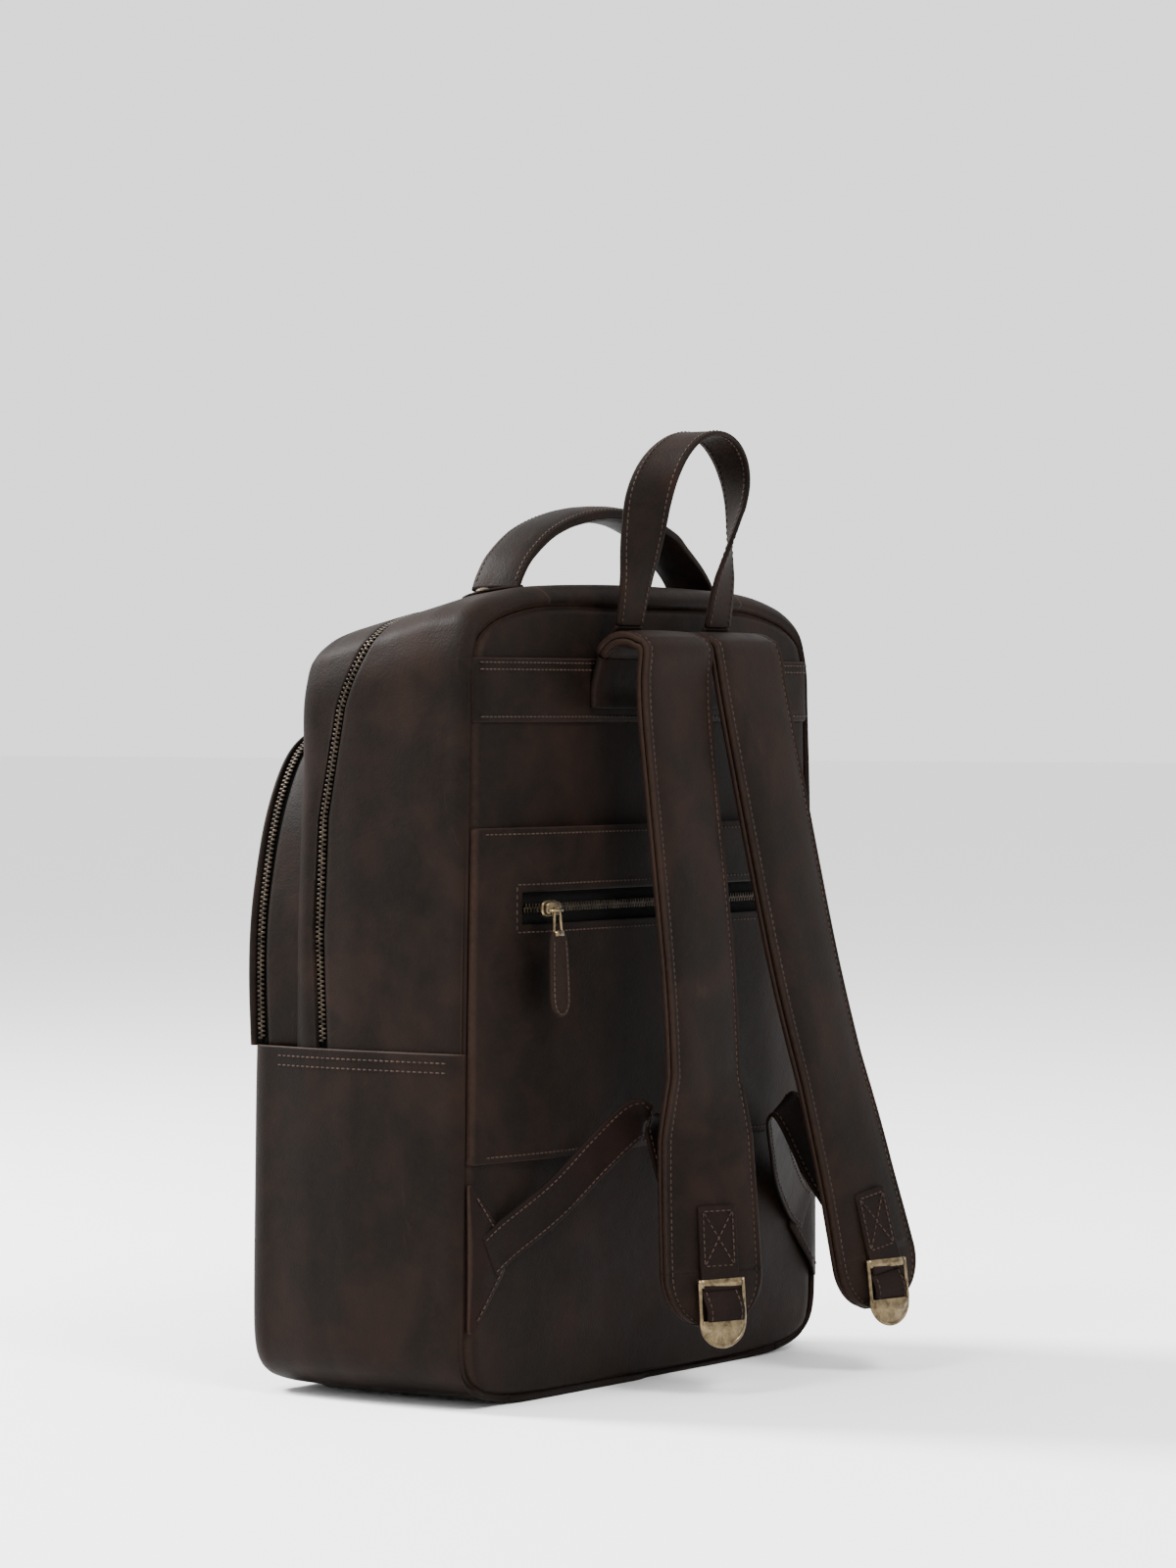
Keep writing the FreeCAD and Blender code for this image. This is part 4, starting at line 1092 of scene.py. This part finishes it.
def local_frame(origin, across, along, outward):
    """A place with its own axes: X across, Y along and Z outward."""
    return np.array(origin), np.array([across, along, outward])


def to_world(points, frame_at):
    """Points given in a local frame, in the row frame."""
    origin, axes = frame_at
    return origin + np.asarray(points, float) @ axes


def end_frame(side_name, above):
    """On the strap's face a given height above the floor: X across, Y down, Z outward."""
    path, side, normal = STRAPS_MADE[side_name]
    k = int(np.argmin(np.abs(path[:, 2] - above) + (np.arange(len(path)) < 60) * 1e3))
    along = unit(path[k + 1] - path[k - 1])
    across = unit(side[k] - along * (side[k] @ along))
    outward = np.cross(across, along)
    if outward[1] < 0:
        across, outward = -across, -outward
    return local_frame(path[k] + normal[k] * 5.0, across, along, outward)


def tag(side_name):
    """The stitched leather tag and its fold round the buckle's bar."""
    body = "strap_" + side_name
    place = end_frame(side_name, 60.0)
    width, length = 25.0, 41.0
    outline = [(-length, 2.4), (-length + 4, 2.7), (-30, 2.9), (-12, 2.9), (-3, 3.4), (2.0, 4.6), (4.6, 3.4),
               (4.9, 0.6), (3.4, -0.9), (0.8, -0.7), (-4, 0.0), (-12, 0.1), (-30, 0.0), (-length, 0.0)]
    across = np.array([-0.5, -0.49, -0.46, -0.2, 0, 0.2, 0.46, 0.49, 0.5]) * width
    drawn = np.array([0.86, 0.96, 1, 1, 1, 1, 1, 0.96, 0.86])
    middle = np.array([np.mean([p[0] for p in outline]), 1.5])
    rings = []
    for u, scale in zip(across, drawn):
        ring = [(u, middle[0] + (y - middle[0]) * (0.5 + scale / 2), middle[1] + (h - middle[1]) * scale)
                for y, h in outline]
        rings.append(to_world(ring, place))
    verts, faces = loft_data(rings)
    obj = add_mesh("strap_tag_" + side_name, verts, faces, TRIM)
    finish_piece(obj, body, ["strap_tag_" + side_name])
    pile = Pile()
    left, right, top, low = -width / 2 + 2.6, width / 2 - 2.6, -length + 3.0, -length + 32.0
    runs = [((left, top), (right, top)), ((left, top), (left, low)), ((right, top), (right, low)),
            ((left, low), (right, low)), ((left, top), (right, low)), ((right, top), (left, low))]
    for (xa, ya), (xb, yb) in runs:
        t = np.linspace(0, 1, 20)
        line = np.stack([xa + (xb - xa) * t, ya + (yb - ya) * t, np.full(20, 2.95)], 1)
        stitch_row(pile, to_world(line, place), place[1][2])
    sew(pile, "tag_stitches_" + side_name, body)


def bar_frame(side_name):
    """The buckle's own frame: X along its bar, Y down the plate, Z outward."""
    joint = next(j for j in frame["joints"] if j["name"] == "buckle_tilt_" + side_name)
    bar = np.array(joint["pos_m"]) / MM
    across = unit(np.array(joint["axis"], float))
    path = STRAPS_MADE[side_name][0]
    along = unit(path[-1] - path[-25])
    along = unit(along - across * (along @ across))
    outward = np.cross(across, along)
    if outward[1] < 0:
        across, outward = -across, -outward
    return local_frame(bar, across, along, outward)


def tube(path, radius, sides=10):
    """Rings of a round wire along a path."""
    path = np.asarray(path, float)
    along = unit(np.gradient(path, axis=0))
    guide = np.array([0.31, 0.22, 0.92])
    first = unit(np.cross(along, guide))
    second = np.cross(along, first)
    turns = np.arange(sides) / sides * 2 * math.pi
    return path[:, None] + radius * (first[:, None] * np.cos(turns)[None, :, None]
                                     + second[:, None] * np.sin(turns)[None, :, None])


def buckle(side_name):
    """A ladder-lock buckle: flat top bar, round side rails and a half-moon plate."""
    place = bar_frame(side_name)
    pile = Pile()
    half_w, tall = 14.4, 34.0
    flat = []
    for x in np.linspace(-half_w, half_w, 9):
        ring = [(x, -2.5, 0.2), (x, -1.9, 0.9), (x, 1.9, 0.9), (x, 2.5, 0.2), (x, 1.9, -0.5), (x, -1.9, -0.5)]
        flat.append(to_world(ring, place))
    pile.add(*loft_data(flat))
    arch = [(half_w * math.cos(a), tall - 13.5 + 13.0 * math.sin(a), -0.4)
            for a in np.linspace(0, math.pi, 25)]
    rail = [(half_w, y, 0.0) for y in np.linspace(-2.2, tall - 15, 12)]
    rail += arch + [(-half_w, y, 0.0) for y in np.linspace(tall - 15, -2.2, 12)]
    pile.add(*loft_data(tube(to_world(rail, place), 1.1, 12)))
    moon = []
    for x in np.linspace(-half_w + 0.5, half_w - 0.5, 23):
        deep = 13.0 * math.sqrt(max(1 - (x / half_w) ** 2, 0.02))
        y0, y1 = tall - 14.5, tall - 13.5 + deep - 0.6
        ring = [(x, y0, 0.6), (x, y0 + 0.5, 1.0), (x, y1 - 0.4, 0.5), (x, y1, 0.0), (x, y1 - 0.3, -0.9),
                (x, y0 + 0.4, -0.9), (x, y0, -0.5)]
        moon.append(to_world(ring, place))
    pile.add(*loft_data(moon))
    obj = pile.build("buckle_" + side_name, BRASS)
    finish_piece(obj, "buckle_" + side_name, ["buckle_" + side_name])


WEBBING_RUNS = {
    "right": [(158, 78.2, 80), (144, 80.0, 88), (110, 88, 107), (80, 96, 130), (58, 104, 146), (50, 112, 144),
              (48, 124, 112), (46.5, 139, 76), (46.2, 149.5, 56), (45.6, 153.2, 46), (44.8, 151.5, 37)],
    "left": [(158, 78.2, 80), (144, 80.0, 88), (118, 88, 108), (98, 97, 130), (83, 107, 144), (81, 116, 142),
             (83, 134, 108), (86, 156, 76), (87.5, 171.8, 56), (88.4, 175.8, 46), (89.4, 173.8, 37)],
}


def webbing(side_name):
    """The leather strip from the corner tab, up behind the strap and down through the buckle."""
    sign = SIDES[side_name]
    points = np.array(WEBBING_RUNS[side_name], float) * [sign, 1, 1]
    place = bar_frame(side_name)
    rising = unit(np.cross(unit(points[3] - points[1]), (0, 1, 0)))
    falling = place[1][0]
    if rising @ falling < 0:
        rising = -rising
    weights = [0, 0, 0, 0, 0.2, 0.5, 0.8, 1, 1, 1, 1]
    across = [rising * (1 - w) + falling * w for w in weights]
    path, side, along = frames(points, across, 90)
    normal = unit(np.cross(side, along))
    if normal[5][1] < 0:
        normal = -normal
    rings = belt(path, side, normal, flat_section(25.0, 2.2, 0.8, 7))
    obj = closed_belt("webbing_" + side_name, rings, TRIM, None)
    pile = Pile()
    for edge in (-1, 1):
        line = path + side * edge * 9.8
        for face in (-1, 1):
            stitch_row(pile, line + normal * face * 1.1, normal * face)
    threads = pile.build("webbing_stitches_" + side_name, THREAD)
    for piece in (obj, threads):
        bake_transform(piece)
    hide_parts("webbing_" + side_name)


def corner_tab(side_name):
    """The folded leather tab sewn into the side seam, from which the webbing comes."""
    sign = SIDES[side_name]
    low, high = cad("corner_tab_" + side_name)
    outer = float(half_width(75, 80)) - 3.2
    tip = outer - 30.0
    rows = []
    for t in shares(high[2] - low[2], 4.0, 1.0):
        z = low[2] + (high[2] - low[2]) * t
        reach = np.interp(z, [low[2], 71, 88, high[2]], [1.5, 30.0, 30.0, 1.5])
        xs = outer - reach * np.array([0, 0.1, 0.3, 0.5, 0.7, 0.9, 1.0])
        y = BACK + 1.2 + 2.6 * smoothstep(outer - xs, 0, 9) - 0.9 * (outer - xs >= reach - 0.01)
        rows.append(np.stack([sign * xs, y, np.full(7, z)], 1))
    grid = np.array(rows)
    panel("corner_tab_" + side_name, grid, "bag", ["corner_tab_" + side_name], 2.4, (0, 0, 80), TRIM)
    pile = Pile()
    for za, xa, zb, xb in ((low[2] + 6, outer - 3, 73, tip + 3.2), (high[2] - 6, outer - 3, 86, tip + 3.2),
                           (73, tip + 3.2, 86, tip + 3.2)):
        t = np.linspace(0, 1, 20)
        x, z = xa + (xb - xa) * t, za + (zb - za) * t
        stitch_row(pile, np.stack([sign * x, np.full(20, BACK + 3.9), z], 1), (0, 1, 0))
    sew(pile, "tab_stitches_" + side_name)


# ---------------------------------------------------------------- handle and hanging loop


HANDLE_Y = 40.0


def grab_handle():
    """The padded arched handle with its stitched edges, sewn-in ends and brass rivets."""
    outer = [(-97, 432.5), (-92, 441), (-82, 451.5), (-60, 464.5), (-30, 473), (0, 475.8), (30, 473.2),
             (58, 465), (70, 457.5), (84, 448), (93, 440), (98, 432.5)]
    points = [(-x, HANDLE_Y, z - 4.2) for x, z in outer]
    path, side, along = frames(points, [(0, 1, 0)] * len(points), 120)
    normal = unit(np.cross(side, along))
    if normal[60][2] < 0:
        normal = -normal
    pad = [(0, 4.6), (6, 4.4), (10, 3.8), (12.2, 2.9), (13.2, 2.6), (14.4, 2.4), (15, 1.4), (15, 0.35)]
    upper = [(-u, h) for u, h in pad[:0:-1]] + pad
    share = np.linspace(0, 1, len(path))
    flat = 0.55 + 0.45 * np.sin(share * math.pi) ** 0.7
    for name, sign in (("handle_cover", 1), ("handle_under", -1)):
        section = [(u, h * sign) for u, h in upper]
        lower = [(u, -0.1 * sign if abs(u) < 15 else 0.0) for u, h in section[::-1]]
        rings = []
        for k in range(len(path)):
            ring = [path[k] + side[k] * u + normal[k] * h * flat[k] for u, h in section + lower[1:-1]]
            rings.append(ring)
        obj = closed_belt(name, rings, HIDE, None, round_ends=False)
        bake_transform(obj)
        if name in frame["nodes"]:
            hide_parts(name)
    core = [path + side * u + normal * h for u, h in ((-11, -1.5), (11, -1.5), (11, 1.5), (-11, 1.5))]
    rings = np.stack(core, 1)[12:-12]
    obj = closed_belt("handle_core", rings, FOAM, "handle", ["handle_core"])
    pile = Pile()
    for edge in (-1, 1):
        line = path + side * edge * 12.6 + normal * (2.75 * flat)[:, None]
        stitch_row(pile, line[2:-2], normal[2:-2])
    threads = pile.build("handle_stitches", THREAD)
    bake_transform(threads)
    for side_name, sign in SIDES.items():
        handle_end(side_name, sign)


def top_surface(x, y):
    """Height of the bag's top at a place."""
    right = hull(UPPER, UPPER_Y, y)[:AROUND // 2 + 1]
    return float(np.interp(-abs(x), -right[:, 0], right[:, 2]))


def handle_end(side_name, sign):
    """The leather patch over the handle's sewn-in end, and its rivet."""
    rows = []
    for t in shares(24, 2.5, 0.8):
        x = 92 + 24 * t
        reach = 15.0 * math.sqrt(max(1 - max(x - 104, 0) ** 2 / 12.5 ** 2, 0.02))
        ys = HANDLE_Y + reach * np.array([-1, -0.93, -0.6, -0.2, 0.2, 0.6, 0.93, 1])
        edges = (0, len(ys) - 1)
        rows.append([(sign * x, y, top_surface(x, y) + 1.5 - (0.9 if k in edges else 0))
                     for k, y in enumerate(ys)])
    grid = np.array(rows)
    panel("handle_end_" + side_name, grid, "bag", ["handle_end_" + side_name], 1.4, (0, 40, 300))
    at = sign * 107.0
    z = top_surface(107, HANDLE_Y) + 1.4
    profile = [(0.2, 1.6), (1.8, 1.45), (3.2, 1.0), (4.2, 0.35), (4.5, 0.0), (3.6, -0.4), (1.2, -3.0)]
    turns = np.arange(20) / 20 * 2 * math.pi
    rings = [[(at + r * math.cos(a), HANDLE_Y + r * math.sin(a), z + h) for a in turns] for r, h in profile]
    verts, faces = loft_data(rings[::-1])
    obj = add_mesh("rivet_" + side_name, verts, faces, BRASS)
    finish_piece(obj, "bag", ["rivet_" + side_name])


def hanging_loop():
    """The stitched leather band that stands at the yoke, turned edgewise over its top."""
    low, high = cad("hanging_loop")
    base, top = low[2] + 0.6, high[2] - 1.2
    half_w = 44.0
    leg_top = top - half_w
    slope = 18.0 / 104.0
    points, across = [], []
    steps = [(-1.0, base, 0.0), (-1.0, (base + leg_top) / 2, 0.03), (-1.0, leg_top, 0.12)]
    steps += [(math.cos(a), leg_top + half_w * math.sin(a), 0.12 + 0.88 * math.sin(a))
              for a in np.radians(np.arange(168, 0, -12))]
    steps += [(-x, z, s) for x, z, s in steps[2::-1]]
    for x, z, share in steps:
        turn = math.radians(90 * share)
        flat = (math.cos(turn), math.sin(turn), 0) if x <= 0 else (-math.cos(turn), math.sin(turn), 0)
        points.append((x * half_w, 91 + slope * (z - base), z))
        across.append(flat)
    path, side, along = frames(points, across, 130)
    normal = unit(np.cross(side, along))
    rings = belt(path, side, normal, flat_section(25.0, 2.6, 0.8, 9))
    obj = closed_belt("hanging_loop", rings, HIDE, None)
    pile = Pile()
    for edge in (-1, 1):
        for face in (-1, 1):
            line = path + side * edge * 9.6 + normal * face * 1.3
            stitch_row(pile, line, normal * face)
    threads = pile.build("loop_stitches", THREAD)
    for piece in (obj, threads):
        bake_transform(piece)
    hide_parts("hanging_loop")
    for side_name, sign in SIDES.items():
        foot = [(sign * half_w, y, z) for y, z in ((77.4, 392.5), (81.5, 399), (87, 405), (90.4, 409.2))]
        path, side, along = frames(foot, [(1, 0, 0)] * 4, 14)
        rings = belt(path, side, unit(np.cross(side, along)), flat_section(25.0, 2.4, 0.8, 7))
        closed_belt("loop_foot_" + side_name, rings, HIDE, "bag", ["loop_foot_" + side_name])


# ---------------------------------------------------------------- sliders and pulls


def flat_pad(node, material):
    """A crowned pad with rounded rims in the place of a flat CAD pad."""
    low, high = cad(node)
    centre, half = (low + high) / 2, (high - low) / 2
    turns = np.linspace(0, 2 * math.pi, 96, endpoint=False)
    square = np.stack([np.sign(np.cos(turns)) * np.abs(np.cos(turns)) ** 0.28,
                       np.zeros(96),
                       np.sign(np.sin(turns)) * np.abs(np.sin(turns)) ** 0.28], 1)
    rings = []
    for depth, reach in ((-1.0, 0.3), (-0.96, 0.7), (-0.86, 0.94), (-0.55, 0.985), (0.0, 0.995),
                         (0.55, 0.985), (0.86, 0.94), (0.96, 0.7), (1.0, 0.3)):
        rings.append(centre + square * half * reach + np.array([0, half[1] * depth, 0]))
    obj = add_mesh(node, *loft_data(rings), material)
    finish_piece(obj, "bag", [node])


def slider_frames():
    """The four sliders' frames: X along the zip's width, Y out of it, Z up the slider."""
    slope = math.atan2(20, 48)
    over = [(-1, 0, 0), (0, -math.sin(slope), math.cos(slope)), (0, math.cos(slope), math.sin(slope))]
    frames_at = {}
    for name, axes in (("back", np.eye(3)), ("main_right", np.array(over)), ("main_left", np.array(over)),
                       ("front", np.array([(0, 1, 0), (-1, 0, 0), (0, 0, 1)]))):
        low, high = cad(name + "_slider")
        frames_at[name] = ((low + high) / 2, axes)
    return frames_at


def slider(name, place, hang, along_x):
    """Slider body with its arched bail, on its own body, and the leather pull on another."""
    pile = Pile()
    long, wide = (15.0, 8.6) if along_x else (8.6, 15.0)
    for y0, y1, shrink in ((-3.4, -1.6, 1.0), (-1.6, 1.0, 0.86)):
        rings = []
        for y, s in ((y0, 0.9), (y0 + 0.3, 1.0), (y1 - 0.4, 1.0), (y1, 0.88)):
            turns = np.linspace(0, 2 * math.pi, 24, endpoint=False)
            ring = [(np.sign(math.cos(a)) * abs(math.cos(a)) ** 0.6 * long / 2 * s * shrink, y,
                     np.sign(math.sin(a)) * abs(math.sin(a)) ** 0.6 * wide / 2 * s * shrink) for a in turns]
            rings.append(to_world(ring, place))
        pile.add(*loft_data(rings))
    a = np.linspace(0, math.pi, 15)
    if along_x:
        bail = np.stack([5.4 * np.cos(a), 0.6 + 2.9 * np.sin(a) ** 0.7, np.full(15, -1.0)], 1)
    else:
        bail = np.stack([np.full(15, 0.0), 0.6 + 2.9 * np.sin(a) ** 0.7, 5.4 * np.cos(a)], 1)
    pile.add(*loft_data(tube(to_world(bail, place), 0.9, 8)))
    finish_piece(pile.build(name + "_slider", BRASS), name + "_slider", [name + "_slider"])
    pull(name, place, hang)


def pull(name, place, hang):
    """A brass loop and a stitched two-layer leather tag that hang from the bail."""
    tilt = math.radians(hang)
    down = place[1][2] * -math.cos(tilt) + place[1][1] * math.sin(tilt)
    out = place[1][1] * math.cos(tilt) + place[1][2] * math.sin(tilt)
    eye = to_world([(0, 2.3, -1.6)], place)[0]
    hung = local_frame(eye, place[1][0], down, out)
    half_loop = [(0, -1.6, 0), (1.9, -0.9, 0), (2.7, 1.5, 0), (3.0, 5.5, 0), (3.4, 9.5, 0), (3.4, 12.0, 0)]
    loop = half_loop + [(-x, y, z) for x, y, z in half_loop[::-1]]
    pile = Pile()
    pile.add(*loft_data(tube(to_world(spline(loop, 60), hung), 0.85, 8)))
    pile.add(*box_data(to_world([(0, 11.6, 0)], hung)[0], np.array([8.0, 2.6, 3.0]), hung[1]))
    brass = pile.build(name + "_pull_loop", BRASS)
    finish_piece(brass, name + "_pull")
    rows = []
    for share in [0, 0.012, 0.03, 0.08, 0.2, 0.35, 0.5, 0.65, 0.8, 0.88, 0.94, 0.975, 0.992, 1.0]:
        y = 10.4 + 45.0 * share
        half_w = np.interp(share, [0, 0.04, 0.2, 0.8, 0.9, 0.96, 1.0], [5.0, 6.8, 8.0, 8.6, 7.8, 5.6, 1.8])
        section = flat_section(2 * half_w, 2.8 if 0.02 < share < 0.98 else 1.8, 0.8, 7)
        rows.append(to_world([(u, y, h) for u, h in section], hung))
    verts, faces = loft_data(rows)
    obj = add_mesh(name + "_pull", verts, faces, HIDE, np.full(len(verts), 0.25))
    finish_piece(obj, name + "_pull", [name + "_pull"])
    half_line = [(-5.4, 15), (-6.2, 28), (-6.6, 44), (-5.6, 50), (-3.0, 53.2)]
    outline = half_line + [(0, 54.0)] + [(-x, y) for x, y in half_line[::-1]]
    line = spline([(x, y, 1.4) for x, y in outline], 80)
    pile = Pile()
    stitch_row(pile, to_world(line, hung), hung[1][2], pitch=3.0)
    sew(pile, name + "_pull_stitches", name + "_pull")


# ---------------------------------------------------------------- seams


def level_path(name, z, side_sign):
    """Where a panel's grid crosses a height on one side: a path along its rings, and its normals."""
    p, n = PANELS[name]
    points, normals = [], []
    for r in range(p.shape[0]):
        half = np.where(p[r, :, 0] * side_sign > 60)[0]
        column = p[r, half, 2]
        cross = np.where((column[:-1] - z) * (column[1:] - z) <= 0)[0]
        if not len(cross):
            continue
        k = cross[0]
        share = (z - column[k]) / (column[k + 1] - column[k] or 1)
        a, b = half[k], half[k + 1]
        points.append(p[r, a] * (1 - share) + p[r, b] * share)
        normals.append(n[r, a] * (1 - share) + n[r, b] * share)
    return np.array(points), unit(np.array(normals))


def band_stitches():
    """Two rows along the seam band of both sides, below its folded edge."""
    pile = Pile()
    for side_name, sign in SIDES.items():
        for drop in (4.0, 9.0):
            path, normals = level_path("lower_side_" + side_name, SEAM - drop, sign)
            inside = (path[:, 1] < 66) & (path[:, 1] > -52)
            stitch_row(pile, path[inside], normals[inside])
    sew(pile, "seam_stitches")


# ---------------------------------------------------------------- stage


WORLD_STRENGTH = 1.7
AIM = Vector((0, 0, 0.25))
LAMPS = (("key", (0.5, -2.2, 2.2), 0.8, 300.0),
         ("side", (2.0, -0.2, 2.6), 0.8, 60.0),
         ("back", (1.0, 2.2, 2.6), 1.0, 130.0))
CAMERA_PLACE = (2.4017, 1.6360, 0.3643)
CAMERA_LOOKS = Vector((-0.8320, -0.5547, -0.0140))
CAMERA_LENS = 120.69


def white_world():
    """Even white light from all round."""
    world = bpy.data.worlds.new("studio_world")
    bpy.context.scene.world = world
    world.use_nodes = True
    background = world.node_tree.nodes["Background"]
    background.inputs["Color"].default_value = (1, 1, 1, 1)
    background.inputs["Strength"].default_value = WORLD_STRENGTH


def pale_floor():
    """A plain pale floor that reaches past the picture."""
    mesh = bpy.data.meshes.new("floor")
    wide = 30.0
    corners = [(-wide, -wide, 0), (wide, -wide, 0), (wide, wide, 0), (-wide, wide, 0)]
    mesh.from_pydata(corners, [], [(0, 1, 2, 3)])
    floor = bpy.data.objects.new("floor", mesh)
    bpy.context.scene.collection.objects.link(floor)
    material = bpy.data.materials.new("floor_white")
    material.use_nodes = True
    shader = material.node_tree.nodes["Principled BSDF"]
    shader.inputs["Base Color"].default_value = (0.9, 0.9, 0.9, 1)
    shader.inputs["Roughness"].default_value = 0.9
    mesh.materials.append(material)


def soft_lamps():
    """Area lamps that aim at the middle of the bag."""
    for name, place, size, power in LAMPS:
        lamp = bpy.data.lights.new(name, "AREA")
        lamp.size = size
        lamp.energy = power
        obj = bpy.data.objects.new(name, lamp)
        obj.location = place
        obj.rotation_euler = (AIM - Vector(place)).to_track_quat("-Z", "Y").to_euler()
        bpy.context.scene.collection.objects.link(obj)


def photo_camera():
    """The camera at the photograph's angle and distance."""
    camera = bpy.data.cameras.new("photo_camera")
    camera.sensor_fit = "VERTICAL"
    camera.sensor_height = 36.0
    camera.lens = CAMERA_LENS
    camera.clip_end = 60.0
    camera.dof.use_dof = False
    obj = bpy.data.objects.new("photo_camera", camera)
    obj.location = CAMERA_PLACE
    obj.rotation_euler = CAMERA_LOOKS.to_track_quat("-Z", "Y").to_euler()
    bpy.context.scene.collection.objects.link(obj)
    bpy.context.scene.camera = obj


# ---------------------------------------------------------------- CAD nodes that stay in sight


NODE_LOOKS = {"buckle": BRASS, "rivet": BRASS, "slider": BRASS, "lining": LINING, "divider": FOAM,
              "pocket_wall": LINING, "foam": FOAM, "core": FOAM, "board": BOARD}


def dress_cad_nodes():
    """Each CAD node gets the material of the first word that its name holds."""
    for node, obj in frame["nodes"].items():
        look = next((NODE_LOOKS[word] for word in NODE_LOOKS if word in node), TRIM)
        obj.data.materials.clear()
        obj.data.materials.append(look)


# ---------------------------------------------------------------- the backpack


upper_panels()
split_lower()
main_zip()
front_pocket()
back_surface()
yoke()
sleeve()
back_zip()
flat_pad("back_foam", FOAM)
flat_pad("laptop_divider", LINING)
STRAPS_MADE = {side_name: strap(side_name) for side_name in SIDES}
for side_name in SIDES:
    tag(side_name)
    buckle(side_name)
    webbing(side_name)
    corner_tab(side_name)
grab_handle()
hanging_loop()
for slider_name, slider_place in slider_frames().items():
    slider(slider_name, slider_place, 4 if slider_name.startswith("main") else 2, slider_name != "front")
band_stitches()
white_world()
pale_floor()
soft_lamps()
photo_camera()
dress_cad_nodes()
